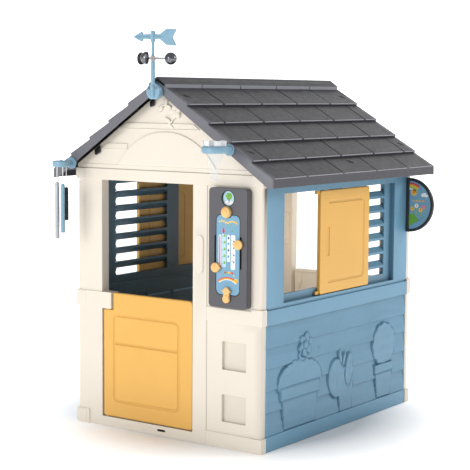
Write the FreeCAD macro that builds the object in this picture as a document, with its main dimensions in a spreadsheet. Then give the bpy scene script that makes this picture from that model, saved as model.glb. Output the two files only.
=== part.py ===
import FreeCAD, Part
import math
import os

import Sketcher

# A one-gable plastic playhouse: clip-together hollow wall mouldings, a tiled two-slope roof, a
# half-height door, two sliding shutters and a set of weather toys. Lengths are millimetres and
# angles are degrees. Every piece is drawn about the centre of the walls' footprint, with the
# front wall facing -Y, and its Placement then carries it into the part's own frame.

DRIVING = [
    ("wall_width", 820, "outside width of the front and back walls"),
    ("wall_length", 1029, "outside length from front face to back face"),
    ("wall_depth", 38, "depth of every hollow wall moulding"),
    ("skin", 2.5, "thickness of a moulded skin"),
    ("corner_return", 25, "front wall's visible depth round its outer corners"),
    ("rabbet", 8, "how deep the side wall's edge laps over the front wall's side"),
    ("lip", 4, "how far the base and waist bands stand proud"),
    ("base_top", 54, "top of the base band"),
    ("waist_low", 436, "bottom of the waist band"),
    ("waist_top", 496, "top of the waist band"),
    ("lintel", 904, "underside of the gable pieces"),
    ("ledge", 961, "top of the gable's flat beam"),
    ("door_left", -295, "left side of the doorway"),
    ("door_right", 119, "right side of the doorway"),
    ("wall_joint", 182, "joint between door frame and side panel"),
    ("sill", 36, "top of the strip under the door"),
    ("hinge_place_x", -275, "door hinge axis, across"),
    ("hinge_place_y", -504, "door hinge axis, front to back"),
    ("hinge_pin", 10, "diameter of the door's pins"),
    ("leaf_thick", 16, "thickness of the door leaf"),
    ("fit_gap", 0.1, "radial clearance of a turning pin"),
    ("play", 1, "clearance of a sliding piece"),
    ("window_low", 530, "bottom of the window opening"),
    ("window_high", 877, "top of the window opening"),
    ("shutter_width", 345, "width of a shutter"),
    ("shutter_height", 372, "height of a shutter"),
    ("shutter_thick", 15, "thickness of a shutter"),
    ("roof_angle", 34.4, "slope of the roof"),
    ("ridge_height", 1273.5, "top of the ridge cap"),
    ("roof_slope", 587, "ridge to eave along the slope"),
    ("roof_length", 1132, "length of the roof along the ridge"),
    ("cap_slope", 46, "ridge cap's width on each slope"),
    ("cap_rise", 13, "ridge cap's height over the tiles"),
    ("tile_step", 8, "rise of each course at its lower edge"),
    ("verge_drop", 48, "height of the boards at the roof's ends"),
    ("fascia_drop", 34, "height of the board along the eave"),
    ("gable_drop", 51.5, "roof plane down to the gable's edge"),
    ("mast_place", -588, "weather vane's axis, front to back"),
    ("gauge_place_x", 316, "rain gauge's axis, across"),
    ("gauge_place_y", -659, "rain gauge's axis, front to back"),
    ("chime_place_x", -390, "wind chime's axis, across"),
    ("chime_place_y", -626, "wind chime's axis, front to back"),
    ("tube_ring", 18, "radius on which the chime's tubes hang"),
    ("tube_size", 15, "diameter of a chime tube"),
    ("cord_size", 3, "diameter of a chime cord"),
    ("panel_front", -543, "front face of the weather panel"),
    ("panel_left", 208, "left side of the weather panel"),
    ("panel_right", 366, "right side of the weather panel"),
    ("panel_low", 494, "bottom of the weather panel"),
    ("panel_high", 901, "top of the weather panel"),
    ("dial_x", 285, "season dial's axis, across"),
    ("dial_height", 820, "season dial's axis, height"),
    ("dial_radius", 72, "radius of the season dial"),
    ("frame_shift_x", -22.145, "walls' centre in the part's frame, across"),
    ("frame_shift_y", 68.5, "walls' centre in the part's frame, front to back"),
]


class Size:
    """A number together with the sheet expression that it comes from."""

    def __init__(self, value, text):
        self.value = value
        self.text = text

    def __add__(self, other):
        return Size(self.value + value_of(other), f"({self.text} + {text_of(other)})")

    def __radd__(self, other):
        return Size(value_of(other) + self.value, f"({text_of(other)} + {self.text})")

    def __sub__(self, other):
        return Size(self.value - value_of(other), f"({self.text} - {text_of(other)})")

    def __rsub__(self, other):
        return Size(value_of(other) - self.value, f"({text_of(other)} - {self.text})")

    def __mul__(self, other):
        return Size(self.value * value_of(other), f"({self.text} * {text_of(other)})")

    __rmul__ = __mul__

    def __truediv__(self, other):
        return Size(self.value / value_of(other), f"({self.text} / {text_of(other)})")

    def __neg__(self):
        return Size(-self.value, f"(0 - {self.text})")


def value_of(number):
    return number.value if isinstance(number, Size) else number


def text_of(number):
    return number.text if isinstance(number, Size) else f"({number:.6f})"


doc = FreeCAD.newDocument("Playhouse")
sheet = doc.addObject("Spreadsheet::Sheet", "Dims")
size = {}
for row, (alias, number, meaning) in enumerate(DRIVING, start=1):
    sheet.set(f"A{row}", meaning)
    sheet.set(f"B{row}", str(number))
    sheet.setAlias(f"B{row}", alias)
    size[alias] = Size(number, f"Dims.{alias}")
doc.recompute()

# Sizes that follow from the driving ones.
skin = size["skin"]
lip = size["lip"]
half_width = size["wall_width"] / 2
half_length = size["wall_length"] / 2
front_out = -half_length
front_in = size["wall_depth"] - half_length
side_in = half_width - size["wall_depth"]
return_end = size["corner_return"] - half_length
lap = half_width - size["rabbet"]
angle = math.radians(size["roof_angle"].value)
roof_sine = Size(math.sin(angle), "sin(Dims.roof_angle)")
roof_cosine = Size(math.cos(angle), "cos(Dims.roof_angle)")
roof_tangent = Size(math.tan(angle), "tan(Dims.roof_angle)")
pieces = []


# Building blocks, each an object bound to the sheet.
def bind(thing, name, number):
    """Gives a property its value, and its expression where the value has one."""
    if isinstance(number, Size):
        thing.setExpression(name, number.text)
    elif not name.startswith("."):
        setattr(thing, name, number)


def place(thing, x, y, z, rotation=None):
    base = FreeCAD.Vector(value_of(x), value_of(y), value_of(z))
    thing.Placement = FreeCAD.Placement(base, rotation or FreeCAD.Rotation())
    for letter, number in zip("xyz", (x, y, z)):
        bind(thing, f".Placement.Base.{letter}", number)


def box(x, y, z):
    """A block between two values along each axis."""
    block = doc.addObject("Part::Box", "Block")
    for side, (low, high) in zip(("Length", "Width", "Height"), (x, y, z)):
        bind(block, side, high - low)
    place(block, x[0], y[0], z[0])
    return block


ALONG = {
    "x": FreeCAD.Rotation(FreeCAD.Vector(0, 1, 0), 90),
    "y": FreeCAD.Rotation(FreeCAD.Vector(1, 0, 0), -90),
    "z": FreeCAD.Rotation(),
}


def cylinder(axis, centre, diameter, span):
    """A cylinder along an axis; centre holds the two other coordinates, in their order."""
    rod = doc.addObject("Part::Cylinder", "Rod")
    bind(rod, "Radius", diameter / 2)
    bind(rod, "Height", span[1] - span[0])
    corner = list(centre)
    corner.insert("xyz".index(axis), span[0])
    place(rod, *corner, ALONG[axis])
    return rod


def cone(centre, low_diameter, high_diameter, span):
    taper = doc.addObject("Part::Cone", "Taper")
    bind(taper, "Radius1", low_diameter / 2)
    bind(taper, "Radius2", high_diameter / 2)
    bind(taper, "Height", span[1] - span[0])
    place(taper, centre[0], centre[1], span[0])
    return taper


def half_ball(x, y, z, diameter, rotation):
    """The upper half of a ball, turned to face another way."""
    dome = doc.addObject("Part::Sphere", "Dome")
    dome.Radius = diameter / 2
    dome.Angle1 = 0
    place(dome, x, y, z, rotation)
    return dome


def fuse(*shapes):
    whole = doc.addObject("Part::MultiFuse", "Whole")
    whole.Shapes = list(shapes)
    whole.Refine = True
    return whole


def cut(base, *tools):
    rest = doc.addObject("Part::Cut", "Rest")
    rest.Base = base
    rest.Tool = tools[0] if len(tools) == 1 else fuse(*tools)
    rest.Refine = True
    return rest


def group(*shapes):
    """Separate solids that stay separate in one sub-part."""
    members = doc.addObject("Part::Compound", "Members")
    members.Links = list(shapes)
    return members


def hollow(x, y, z):
    """A blow-moulded box: closed all round, with an even skin."""
    return cut(box(x, y, z), box(*((low + skin, high - skin) for low, high in (x, y, z))))


PLANES = {"x": "YZ_Plane", "y": "XZ_Plane", "z": "XY_Plane"}


def prism(axis, outline, span, rounded=(), radius=None):
    """A body with one padded sketch; outline runs in the plane across the axis."""
    body = doc.addObject("PartDesign::Body", "Moulding")
    sketch = body.newObject("Sketcher::SketchObject", "Outline")
    planes = [feature for feature in body.Origin.OriginFeatures if feature.Role == PLANES[axis]]
    sketch.AttachmentSupport = [(planes[0], "")]
    sketch.MapMode = "FlatFace"
    # The sketch on the XZ plane looks along -Y, so it starts at the far end of the span.
    start = -span[1] if axis == "y" else span[0]
    sketch.AttachmentOffset = FreeCAD.Placement(
        FreeCAD.Vector(0, 0, value_of(start)), FreeCAD.Rotation()
    )
    bind(sketch, ".AttachmentOffset.Base.z", start)
    corners = [FreeCAD.Vector(value_of(a), value_of(b), 0) for a, b in outline]
    count = len(corners)
    for i in range(count):
        sketch.addGeometry(Part.LineSegment(corners[i], corners[(i + 1) % count]), False)
    joined = [Sketcher.Constraint("Coincident", i, 2, (i + 1) % count, 1) for i in range(count)]
    measures = []
    for i, point in enumerate(outline):
        for kind, number in zip(("DistanceX", "DistanceY"), point):
            measures.append((Sketcher.Constraint(kind, -1, 1, i, 1, value_of(number)), number))
    sketch.addConstraint(joined + [constraint for constraint, number in measures])
    for i, (constraint, number) in enumerate(measures, start=count):
        bind(sketch, f".Constraints[{i}]", number)
    pad = body.newObject("PartDesign::Pad", "Pad")
    pad.Profile = sketch
    bind(pad, "Length", span[1] - span[0])
    if rounded:
        doc.recompute()
        names = edges_along(pad.Shape, axis, [corners[i] for i in rounded])
        fillet = body.newObject("PartDesign::Fillet", "Corners")
        fillet.Base = (pad, names)
        bind(fillet, "Radius", radius)
        body.Tip = fillet
    return body


def edges_along(shape, axis, corners):
    """Names of the edges that run along an axis through the given outline corners."""
    letter = "xyz".index(axis)
    names = []
    for number, edge in enumerate(shape.Edges, start=1):
        ends = [list(vertex.Point) for vertex in edge.Vertexes]
        flat = [end[:letter] + end[letter + 1 :] for end in ends]
        if math.dist(flat[0], flat[1]) > 0.001:
            continue
        if any(math.dist(flat[0], (corner.x, corner.y)) < 0.001 for corner in corners):
            names.append(f"Edge{number}")
    return names


def rectangle(a, b):
    return [(a[0], b[0]), (a[1], b[0]), (a[1], b[1]), (a[0], b[1])]


def rounded_box(axis, a, b, span, radius):
    """A block with its four edges along the axis rounded."""
    return prism(axis, rectangle(a, b), span, (0, 1, 2, 3), radius)


def finish(thing, label, half_turn=False):
    """Names a sub-part and carries it into the part's frame; the back is the front turned round."""
    thing.Label = label
    turn = FreeCAD.Rotation(FreeCAD.Vector(0, 0, 1), 180) if half_turn else FreeCAD.Rotation()
    place(thing, size["frame_shift_x"], size["frame_shift_y"], 0, turn)
    pieces.append(thing)


# Front and back walls.
BLOCK_RIGHT = -250
LEAF_NOTCH = -245.5
LEAF_GAP = 3
PIN_LENGTH = 10


def corner_band(low, high, right):
    """The proud band round a wall's outer corner."""
    face = box((-half_width - lip, right), (front_out - lip, front_out), (low, high))
    side = box((-half_width - lip, -half_width), (front_out - lip, return_end), (low, high))
    return fuse(face, side)


def door_frame(label, half_turn):
    """Left post, right jamb and the strip that joins them under the doorway."""
    depth = (front_out, front_in)
    post = hollow((-lap, size["door_left"]), depth, (0, size["lintel"]))
    corner = box((-half_width, -lap), (front_out, return_end), (0, size["lintel"]))
    jamb = hollow((size["door_right"], size["wall_joint"]), depth, (0, size["lintel"]))
    strip = hollow((size["door_left"], size["door_right"]), depth, (0, size["sill"]))
    block = box(
        (size["door_left"], BLOCK_RIGHT), depth, (size["waist_low"], size["waist_top"])
    )
    waist = corner_band(size["waist_low"], size["waist_top"], BLOCK_RIGHT)
    foot = corner_band(0, size["base_top"], -355)
    boss = rounded_box("y", (131, 164), (600, 730), (front_out - 3, front_out), 15)
    pivot = (size["hinge_place_x"], size["hinge_place_y"])
    bore = size["hinge_pin"] + 2 * size["fit_gap"]
    holes = [
        cylinder("z", pivot, bore, (size["waist_low"], size["waist_low"] + 14)),
        cylinder("z", pivot, bore, (size["sill"] - 12, size["sill"])),
        box((-37, -2), (front_out, front_out + 8), (16, 24)),
    ]
    finish(cut(fuse(post, corner, jamb, strip, block, waist, foot, boss), *holes), label, half_turn)


def leaf_outline(margin):
    """A half-height leaf with a notch round the hinge block."""
    left = size["door_left"] + margin + 2
    right = size["door_right"] - margin
    low = size["sill"] + margin
    top = size["waist_top"]
    under = size["waist_low"] - margin
    notch = LEAF_NOTCH + (margin - LEAF_GAP)
    return [(left, low), (right, low), (right, top), (notch, top), (notch, under), (left, under)]


def leaf_body(margin):
    """The leaf's front skin and rim, with its moulded frame."""
    middle = size["hinge_place_y"]
    back = middle + size["leaf_thick"] / 2
    front = middle - size["leaf_thick"] / 2
    outer = prism("y", leaf_outline(margin), (front, back), (0, 1, 2, 3), 10)
    inner = prism("y", leaf_outline(margin + 5), (front + skin, back - skin))
    field = rounded_box("y", (-240, 55), (98, 414), (front - 2, front), 14)
    return outer, inner, field


def door():
    outer, inner, field = leaf_body(LEAF_GAP)
    pivot = (size["hinge_place_x"], size["hinge_place_y"])
    under = size["waist_low"] - LEAF_GAP
    low = size["sill"] + LEAF_GAP
    # The bosses carry the pins through the hollow rim.
    upper_boss = cylinder("z", pivot, 16, (under - 40, under))
    lower_boss = cylinder("z", pivot, 16, (low, low + 40))
    upper = cylinder("z", pivot, size["hinge_pin"], (under - 5, under + LEAF_GAP + PIN_LENGTH))
    lower = cylinder("z", pivot, size["hinge_pin"], (low - LEAF_GAP - PIN_LENGTH, low + 5))
    shell = cut(fuse(outer, field), inner)
    finish(fuse(shell, upper_boss, lower_boss, upper, lower), "door")


def back_lower_panel():
    """The back doorway's lower half is closed by a fixed leaf of the same shape."""
    outer, inner, field = leaf_body(0)
    finish(cut(fuse(outer, field), inner), "back_lower_panel", True)


def side_panel(label, half_turn):
    """The narrow panel beside the doorway, with two square recesses."""
    across = (size["wall_joint"], lap)
    shell = hollow(across, (front_out, front_in), (0, size["lintel"]))
    bands = [box((lap, half_width), (front_out, return_end), (0, size["lintel"]))]
    for low, high in ((0, 52), (439, 487)):
        bands.append(box((across[0], half_width + lip), (front_out - lip, front_out), (low, high)))
        side = (half_width, half_width + lip)
        bands.append(box(side, (front_out - lip, return_end), (low, high)))
    cups = []
    hollows = []
    for low, high in ((274, 373), (92, 188)):
        cups.append(box((242, 351), (front_out, front_out + 16), (low - 4, high + 4)))
        hollows.append(rounded_box("y", (246, 347), (low, high), (front_out, front_out + 12), 4))
    hollows += [screw_shank(at) for at in SCREWS]
    finish(cut(fuse(shell, *bands, *cups), *hollows), label, half_turn)


def gable_edge(x):
    """Height of the gable's sloping edge at a distance from the ridge."""
    return size["ridge_height"] - size["gable_drop"] - x * roof_tangent


def gable_outline(inset):
    corner = half_width - inset
    low = size["lintel"] + inset
    rise = inset * 1.4
    return [
        (-corner, low),
        (corner, low),
        (corner, gable_edge(corner) - rise),
        (0, gable_edge(0) - rise),
        (-corner, gable_edge(corner) - rise),
    ]


ARCH_CENTRE = 829
ARCH_DIAMETER = 508


def gable(label, half_turn):
    """The beam over the doorway and the triangle above it, with an arched field and boards."""
    shell = cut(
        prism("y", gable_outline(0), (front_out, front_in)),
        prism("y", gable_outline(skin), (front_out + skin, front_in - skin)),
    )
    beam = box((-half_width, half_width), (front_out - lip, front_out), (size["lintel"], 945))
    disc = cylinder("y", (0, ARCH_CENTRE), ARCH_DIAMETER, (front_out - 3, front_out))
    arch = cut(disc, box((-300, 300), (front_out - 5, front_out + 5), (500, size["ledge"])))
    boards = []
    for left, right, height in ((-209, 152, 1091), (-299, -165, 1017), (-384, 384, 961)):
        boards.append(box((left, right), (front_out - 2, front_out), (height - 6, height)))
    leaf = rounded_box("y", (14, 72), (1100, 1160), (front_out - 4, front_out), 12)
    finish(fuse(shell, beam, arch, *boards, leaf), label, half_turn)


# Side walls. The right one is drawn, and the left one is the same moulding turned round.
PLANK_LINES = (54, 135, 210, 286, 357, 436)
CELLS = 6
RELIEFS = (
    # outline of each garden relief along the wall and up
    ((-385, 58), (-165, 58), (-150, 160), (-133, 190), (-150, 250), (-210, 284), (-340, 284),
     (-400, 250), (-416, 190), (-400, 160)),
    ((-281, 338), (-262, 379), (-219, 379), (-200, 338), (-219, 297), (-262, 297)),
    ((-30, 58), (40, 58), (60, 110), (114, 140), (114, 200), (60, 250), (-30, 250), (-87, 200),
     (-87, 140), (-40, 110)),
    ((262, 58), (376, 58), (390, 200), (410, 240), (400, 310), (350, 345), (288, 345),
     (238, 310), (228, 240), (248, 200)),
)


def lower_side(label, half_turn):
    """Closed lower half of a side wall: a ribbed moulding faced with lapped planks."""
    along = (-(half_length - size["wall_depth"]), half_length - size["wall_depth"])
    top_edge = size["waist_top"] - 1
    pitch = (along[1] - along[0] - skin) / CELLS
    cells = []
    for i in range(CELLS):
        left = along[0] + skin + pitch * i
        cells.append(box((side_in + skin, lap), (left, left + pitch - skin), (skin, top_edge - skin)))
    block = box((side_in, lap), along, (0, top_edge))
    outline = [(lap, PLANK_LINES[-1]), (lap, PLANK_LINES[0])]
    for low, high in zip(PLANK_LINES, PLANK_LINES[1:]):
        outline += [(half_width - 1, low), (half_width - 6, high)]
    wide = (return_end, -return_end)
    planks = prism("y", outline, wide)
    base = box((lap, half_width + 2), wide, (0, size["base_top"]))
    waist = box((lap, half_width + lip), wide, (size["waist_low"], 489))
    top = box((lap, half_width - 2), wide, (489, top_edge))
    reliefs = [prism("x", outline, (lap, half_width + 2)) for outline in RELIEFS]
    finish(cut(fuse(block, planks, base, waist, top, *reliefs), *cells), label, half_turn)


TRACK_LOW = 503
TRACK_HIGH = 879
TRACK_START = -384
TRACK_END = 386
TRACK_DEPTH = 18
SLOT_COUNT = 7
SLOT_PITCH = 53.4
SLOT_HEIGHT = 25.5
FREE_OPENING = (-380, -48)
LOUVRE_OPENING = (26, 338)


def window_frame(label, half_turn):
    """Upper half of a side wall: a free opening, a louvred one and the shutter's track."""
    end = half_length - size["wall_depth"]
    floor = half_width - TRACK_DEPTH
    low = size["waist_top"] - 1
    outer = fuse(
        box((side_in, half_width), (-end, end), (low, 936)),
        box((lap, half_width), (return_end, -return_end), (low, size["lintel"])),
    )
    run = (TRACK_START, TRACK_END)
    groove = (half_width - 13 - size["play"] / 2, half_width - 5 + size["play"] / 2)
    inside = (side_in + skin, half_width - skin)
    upright = (low + skin, 932)
    hollows = [
        box((floor, half_width), run, (TRACK_LOW, TRACK_HIGH)),
        box((side_in, floor - 12), run, (TRACK_LOW, TRACK_HIGH)),
        box((side_in, floor), FREE_OPENING, (size["window_low"], size["window_high"])),
        box((side_in, floor), LOUVRE_OPENING, (size["window_low"], size["window_high"])),
        box(inside, (-end + skin, TRACK_START - skin), upright),
        box(inside, (TRACK_END + skin, end - skin), upright),
        box(inside, run, (TRACK_HIGH + 10, 932)),
        box(groove, run, (TRACK_LOW - 6, TRACK_LOW)),
        box(groove, run, (TRACK_HIGH, TRACK_HIGH + 6)),
    ]
    slats = []
    for i in range(SLOT_COUNT - 1):
        under = size["window_low"] + SLOT_PITCH * i + SLOT_HEIGHT
        over = size["window_low"] + SLOT_PITCH * (i + 1)
        outline = [(floor, under), (floor, under + 9), (floor - 16, over), (floor - 16, over - 9)]
        slats.append(prism("y", outline, LOUVRE_OPENING))
    finish(fuse(cut(outer, *hollows), *slats), label, half_turn)


SHUTTER_LOW = 505


def shutter(label, start, half_turn):
    """A panel that slides in the track on four short runners."""
    far = half_width - 2
    near = far - size["shutter_thick"]
    span = (start, start + size["shutter_width"])
    height = (SHUTTER_LOW, SHUTTER_LOW + size["shutter_height"])
    outer = rounded_box("x", span, height, (near, far), 6)
    inner = box(
        (near + skin, far - skin), (span[0] + 5, span[1] - 5), (height[0] + 5, height[1] - 5)
    )
    inset = rounded_box(
        "x", (span[0] + 56, span[1] - 42), (547, 834), (far - 2, far), 14
    )
    runners = []
    for y in (span[0] + 20, span[1] - 20):
        middle = (half_width - 9, y)
        runners.append(cylinder("z", middle, 6, (TRACK_LOW - 4, height[0] + 5)))
        runners.append(cylinder("z", middle, 6, (height[1] - 5, TRACK_HIGH + 4)))
    tabs = []
    for low in (height[0], height[1] - 13):
        tabs.append(box((near, near + 10), (span[0] - 20, span[0] + 5), (low, low + 13)))
    finish(fuse(cut(outer, inner, inset), *runners, *tabs), label, half_turn)


# Roof. A slope is drawn flat, from the ridge at zero to the eave, and then tipped.
COURSES = (163, 272, 380, 487)
TILE_EDGE = -2
CAP_LEAN = 2.5
BEARING = 495
BOARD = 6


def course_line(drop):
    """The stepped line of the tile courses, from the ridge to the eave, at a depth in the skin."""
    level = size["cap_rise"] + drop
    points = [(level * roof_tangent, -level), (size["cap_slope"] + CAP_LEAN, -level)]
    for edge in COURSES:
        points.append((edge - drop, TILE_EDGE - drop))
        points.append((edge - drop, TILE_EDGE - size["tile_step"] - drop))
    points.append((size["roof_slope"], TILE_EDGE - drop))
    return points


def roof_slope(label, half_turn):
    """Tile skin, boards at both ends, the eave's fascia and a rib over each gable."""
    half = size["roof_length"] / 2
    top = course_line(0)
    under = course_line(skin)
    tiles = prism("y", top + under[::-1], (-half, half))
    depth = size["verge_drop"] * roof_cosine
    lean = size["verge_drop"] * roof_sine
    toe = size["fascia_drop"]
    end = (size["roof_slope"] + toe * roof_sine, TILE_EDGE - toe * roof_cosine)
    end_line = top + [end, (end[0] - 14, -depth), (lean, -depth)]
    boards = [prism("y", end_line, span) for span in ((-half, BOARD - half), (half - BOARD, half))]
    edge = size["gable_drop"] * roof_cosine
    rib_line = top + [(size["roof_slope"] - 60, -edge), (size["gable_drop"] * roof_sine, -edge)]
    ribs = [prism("y", rib_line, (at - BOARD / 2, at + BOARD / 2)) for at in (-BEARING, BEARING)]
    corner = (size["roof_slope"], TILE_EDGE)
    fascia_line = [corner, end, (end[0] - 5, end[1] + 3), (corner[0] - 6, corner[1] - 3)]
    fascia = prism("y", fascia_line, (-half, half))
    whole = fuse(tiles, *boards, *ribs, fascia)
    whole.Label = label
    tip = FreeCAD.Rotation(FreeCAD.Vector(0, 1, 0), size["roof_angle"].value)
    turn = FreeCAD.Rotation(FreeCAD.Vector(0, 0, 1), 180) if half_turn else FreeCAD.Rotation()
    place(
        whole, size["frame_shift_x"], size["frame_shift_y"], size["ridge_height"], turn.multiply(tip)
    )
    pieces.append(whole)


def ridge_cap():
    """A folded strip over the joint of the two slopes."""

    def on_slope(along, rise, side):
        x = along * roof_cosine + rise * roof_sine
        z = size["ridge_height"] - along * roof_sine + rise * roof_cosine
        return (x * side, z)

    foot = size["cap_slope"]
    inner = foot - 3
    floor = -size["cap_rise"]
    line = ((foot, 0), (foot + CAP_LEAN, floor), (inner, floor), (inner, -skin))
    right = [on_slope(along, rise, 1) for along, rise in line]
    left = [on_slope(along, rise, -1) for along, rise in line]
    peak = (0, size["ridge_height"])
    under = (0, size["ridge_height"] - skin / roof_cosine)
    half = size["roof_length"] / 2
    finish(prism("y", [peak, *right, under, *left[::-1]], (-half, half)), "ridge_cap")


def roof_clips(label, half_turn):
    """Clips that hook the roof's ribs over the gable's edge."""
    clips = []
    for left, right in ((-310, -276), (-16, -2), (2, 16), (276, 310)):
        far, near = (-left, -right) if left < 0 else (left, right)
        outline = [
            (left, gable_edge(far)), (right, gable_edge(near)),
            (right, gable_edge(near) - 32), (left, gable_edge(far) - 32),
        ]
        clips.append(prism("y", outline, (front_out - 9, front_out - lip)))
    finish(group(*clips), label, half_turn)


# Weather vane, at the front end of the ridge.
MAST_THICK = 15
MAST_THIN = 10
ROTOR = (1325, 1343)
ARROW_THICK = 7
CUP = 43
CUP_ARM = 62
FIRST_ARM = 50


def vane():
    at = (0, size["mast_place"])
    verge = -(size["roof_length"] / 2)
    disc = cylinder("y", (0, 1221), 58, (-590, verge))
    bores = [cylinder("y", (x, 1233), 6, (-590, -576)) for x in (-17, 17)]
    socket = cylinder("z", at, 21, (1204, 1244))
    bore = cylinder("z", at, MAST_THICK, (1226, 1252))
    finish(cut(fuse(disc, socket), bore, *bores), "vane_clamp")
    heads = []
    for x in (-17, 17):
        head = cylinder("y", (x, 1233), 9, (-592, -590))
        shank = cylinder("y", (x, 1233), 6, (-590, -576))
        heads.append(fuse(head, shank))
    finish(group(*heads), "vane_screws")
    low = cylinder("z", at, MAST_THICK, (1226, ROTOR[0] - 1))
    upper = cylinder("z", at, MAST_THIN, (ROTOR[0] - 1, 1388))
    pin = cylinder("z", at, 6, (1388, 1418))
    finish(fuse(low, upper, pin), "vane_mast")


def vane_arrow():
    at = (0, size["mast_place"])
    y = (size["mast_place"] - ARROW_THICK / 2, size["mast_place"] + ARROW_THICK / 2)
    outline = [
        (-87, 1408), (-47, 1390), (-47, 1399), (30, 1399), (60, 1378), (102, 1375), (84, 1403),
        (102, 1431), (60, 1433), (30, 1415), (-47, 1415), (-47, 1426),
    ]
    hub = cylinder("z", at, 17, (1389, 1427))
    bore = cylinder("z", at, 6 + 2 * size["fit_gap"], (1389, 1420))
    finish(cut(fuse(prism("y", outline, y), hub), bore), "vane_arrow")


def wind_rotor():
    """A hub with three arms; each arm ends in a half-round cup that faces along its circle."""
    at = (0, size["mast_place"])
    middle = sum(ROTOR) / 2
    hub = cylinder("z", at, 17, ROTOR)
    bore = cylinder("z", at, MAST_THIN + 2 * size["fit_gap"], ROTOR)
    arms = []
    cups = []
    for turn in (0, 120, 240):
        heading = FIRST_ARM + turn
        across = math.cos(math.radians(heading))
        along = math.sin(math.radians(heading))
        arm = doc.addObject("Part::Cylinder", "Arm")
        arm.Radius = 3.5
        arm.Height = CUP_ARM - CUP / 2 + 1 - 7
        spin = FreeCAD.Rotation(FreeCAD.Vector(0, 0, 1), heading)
        place(arm, 7 * across, size["mast_place"] + 7 * along, middle, spin.multiply(ALONG["x"]))
        arms.append(arm)
        centre = (CUP_ARM * across, size["mast_place"] + CUP_ARM * along, middle)
        face = FreeCAD.Rotation(FreeCAD.Vector(0, 0, 1), heading + 180).multiply(ALONG["y"])
        outer = half_ball(*centre, CUP, face)
        cups.append(cut(outer, half_ball(*centre, CUP - 4, face)))
    whole = [half_ball(*cup.Base.Placement.Base, CUP, cup.Base.Placement.Rotation) for cup in cups]
    finish(cut(fuse(hub, *arms), bore, *whole), "wind_rotor")
    finish(group(*cups), "wind_cups")


# Rain gauge, on the front right verge.
GAUGE_RING = (1019, 1045)


def rain_gauge():
    at = (size["gauge_place_x"], size["gauge_place_y"])
    verge = -(size["roof_length"] / 2)
    x = size["gauge_place_x"]
    disc = cylinder("y", (x, 1030), 50, (verge - 10, verge))
    arm = box((x - 12, x + 12), (size["gauge_place_y"] + 40, verge - 10), (1021, 1041))
    finish(group(disc), "gauge_clamp")
    ring = cylinder("z", at, 88, GAUGE_RING)
    seat = cone(at, 58, 71.8, GAUGE_RING)
    finish(cut(fuse(ring, arm), seat), "gauge_ring")
    # The funnel tapers down into a narrow tube; its rim widens above the ring.
    outer = [
        cone(at, 19, 57, (932, 1019)),
        cone(at, 57, 70.8, GAUGE_RING),
        cone(at, 70.8, 83, (1045, 1063)),
    ]
    inner = [
        cone(at, 14, 52, (936, 1019)),
        cone(at, 52, 65.8, GAUGE_RING),
        cone(at, 65.8, 78, (1045, 1063)),
    ]
    finish(cut(fuse(*outer), *inner), "gauge_funnel")


# Wind chime, on the front left verge.
CHIME_RING = (950, 973)
CORD_PLAY = 0.3
TUBES = (
    # bearing of the tube round the ring, its bottom and its top
    (-30.6, 716, 891),
    (41.4, 759, 878),
    (113.4, 750, 880),
    (257.4, 695, 897),
    (185.4, 735, 884),
)


def wind_chime():
    verge = -(size["roof_length"] / 2)
    x = size["chime_place_x"]
    y = size["chime_place_y"]
    finish(group(cylinder("y", (x, 963), 42, (verge - 9, verge))), "chime_clamp")
    disc = cylinder("z", (x, y), 63, CHIME_RING)
    arm = box((x - 8, x + 8), (y + 25, verge - 9), (954, 970))
    finish(fuse(disc, arm), "chime_ring")
    for number, (bearing, low, high) in enumerate(TUBES, start=1):
        heading = math.radians(bearing)
        centre = (
            x + size["tube_ring"] * math.cos(heading),
            y + size["tube_ring"] * math.sin(heading),
        )
        bottom_skin = (low, high - 3)
        tube = cut(
            cylinder("z", centre, size["tube_size"], (low, high)),
            cylinder("z", centre, size["tube_size"] - 3, bottom_skin),
        )
        finish(tube, f"chime_tube_{number}")
        cord = cylinder("z", centre, size["cord_size"], (high, CHIME_RING[0] - CORD_PLAY))
        finish(group(cord), f"chime_cord_{number}")


# Weather panel, on the front side panel.
FLOOR = 2
INSERT = ((237, 338), (537, 812))
POINTER = (287, 526)
RIGHT_SLOT = (341, 630, 739)
LEFT_SLOT = (235, 614, 740)
STEM = 6
SCREWS = ((224, 512), (350, 512), (224, 884), (350, 884))
BACK_PLATE = 3


def slot_tool(x, low, high):
    front = size["panel_front"]
    half = STEM / 2 + 0.3
    return box((x - half, x + half), (front - 1, front + 6), (low, high))


def screw_shank(at):
    """A screw's way through the wall's skin and the panel's back plate."""
    return cylinder("y", at, 4, (front_out - BACK_PLATE, front_out + skin))


def panel_housing():
    """A shallow case with a round window, a sunken field and two slots."""
    front = size["panel_front"]
    across = (size["panel_left"], size["panel_right"])
    upright = (size["panel_low"], size["panel_high"])
    outer = rounded_box("y", across, upright, (front, front_out), 12)
    inner = rounded_box(
        "y", (across[0] + 3, across[1] - 3), (upright[0] + 3, upright[1] - 3),
        (front + 3 + FLOOR, front_out), 10,
    )
    field = rounded_box("y", *INSERT, (front, front + 3), 20)
    dial = (size["dial_x"], size["dial_height"])
    bores = [
        cylinder("y", (287, 866), 48, (front, front + 6)),
        cylinder("y", dial, 10 + 2 * size["fit_gap"], (front, front + 6)),
        cylinder("y", (POINTER[0], POINTER[1]), 8 + 2 * size["fit_gap"], (front, front + 6)),
        slot_tool(*RIGHT_SLOT),
        slot_tool(*LEFT_SLOT),
    ]
    finish(cut(outer, inner, field, *bores), "panel_housing")
    screws = []
    for at in SCREWS:
        head = cylinder("y", at, 10, (front_out + skin, front_out + skin + 3))
        screws.append(fuse(head, screw_shank(at)))
    finish(group(*screws), "panel_screws")


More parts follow.
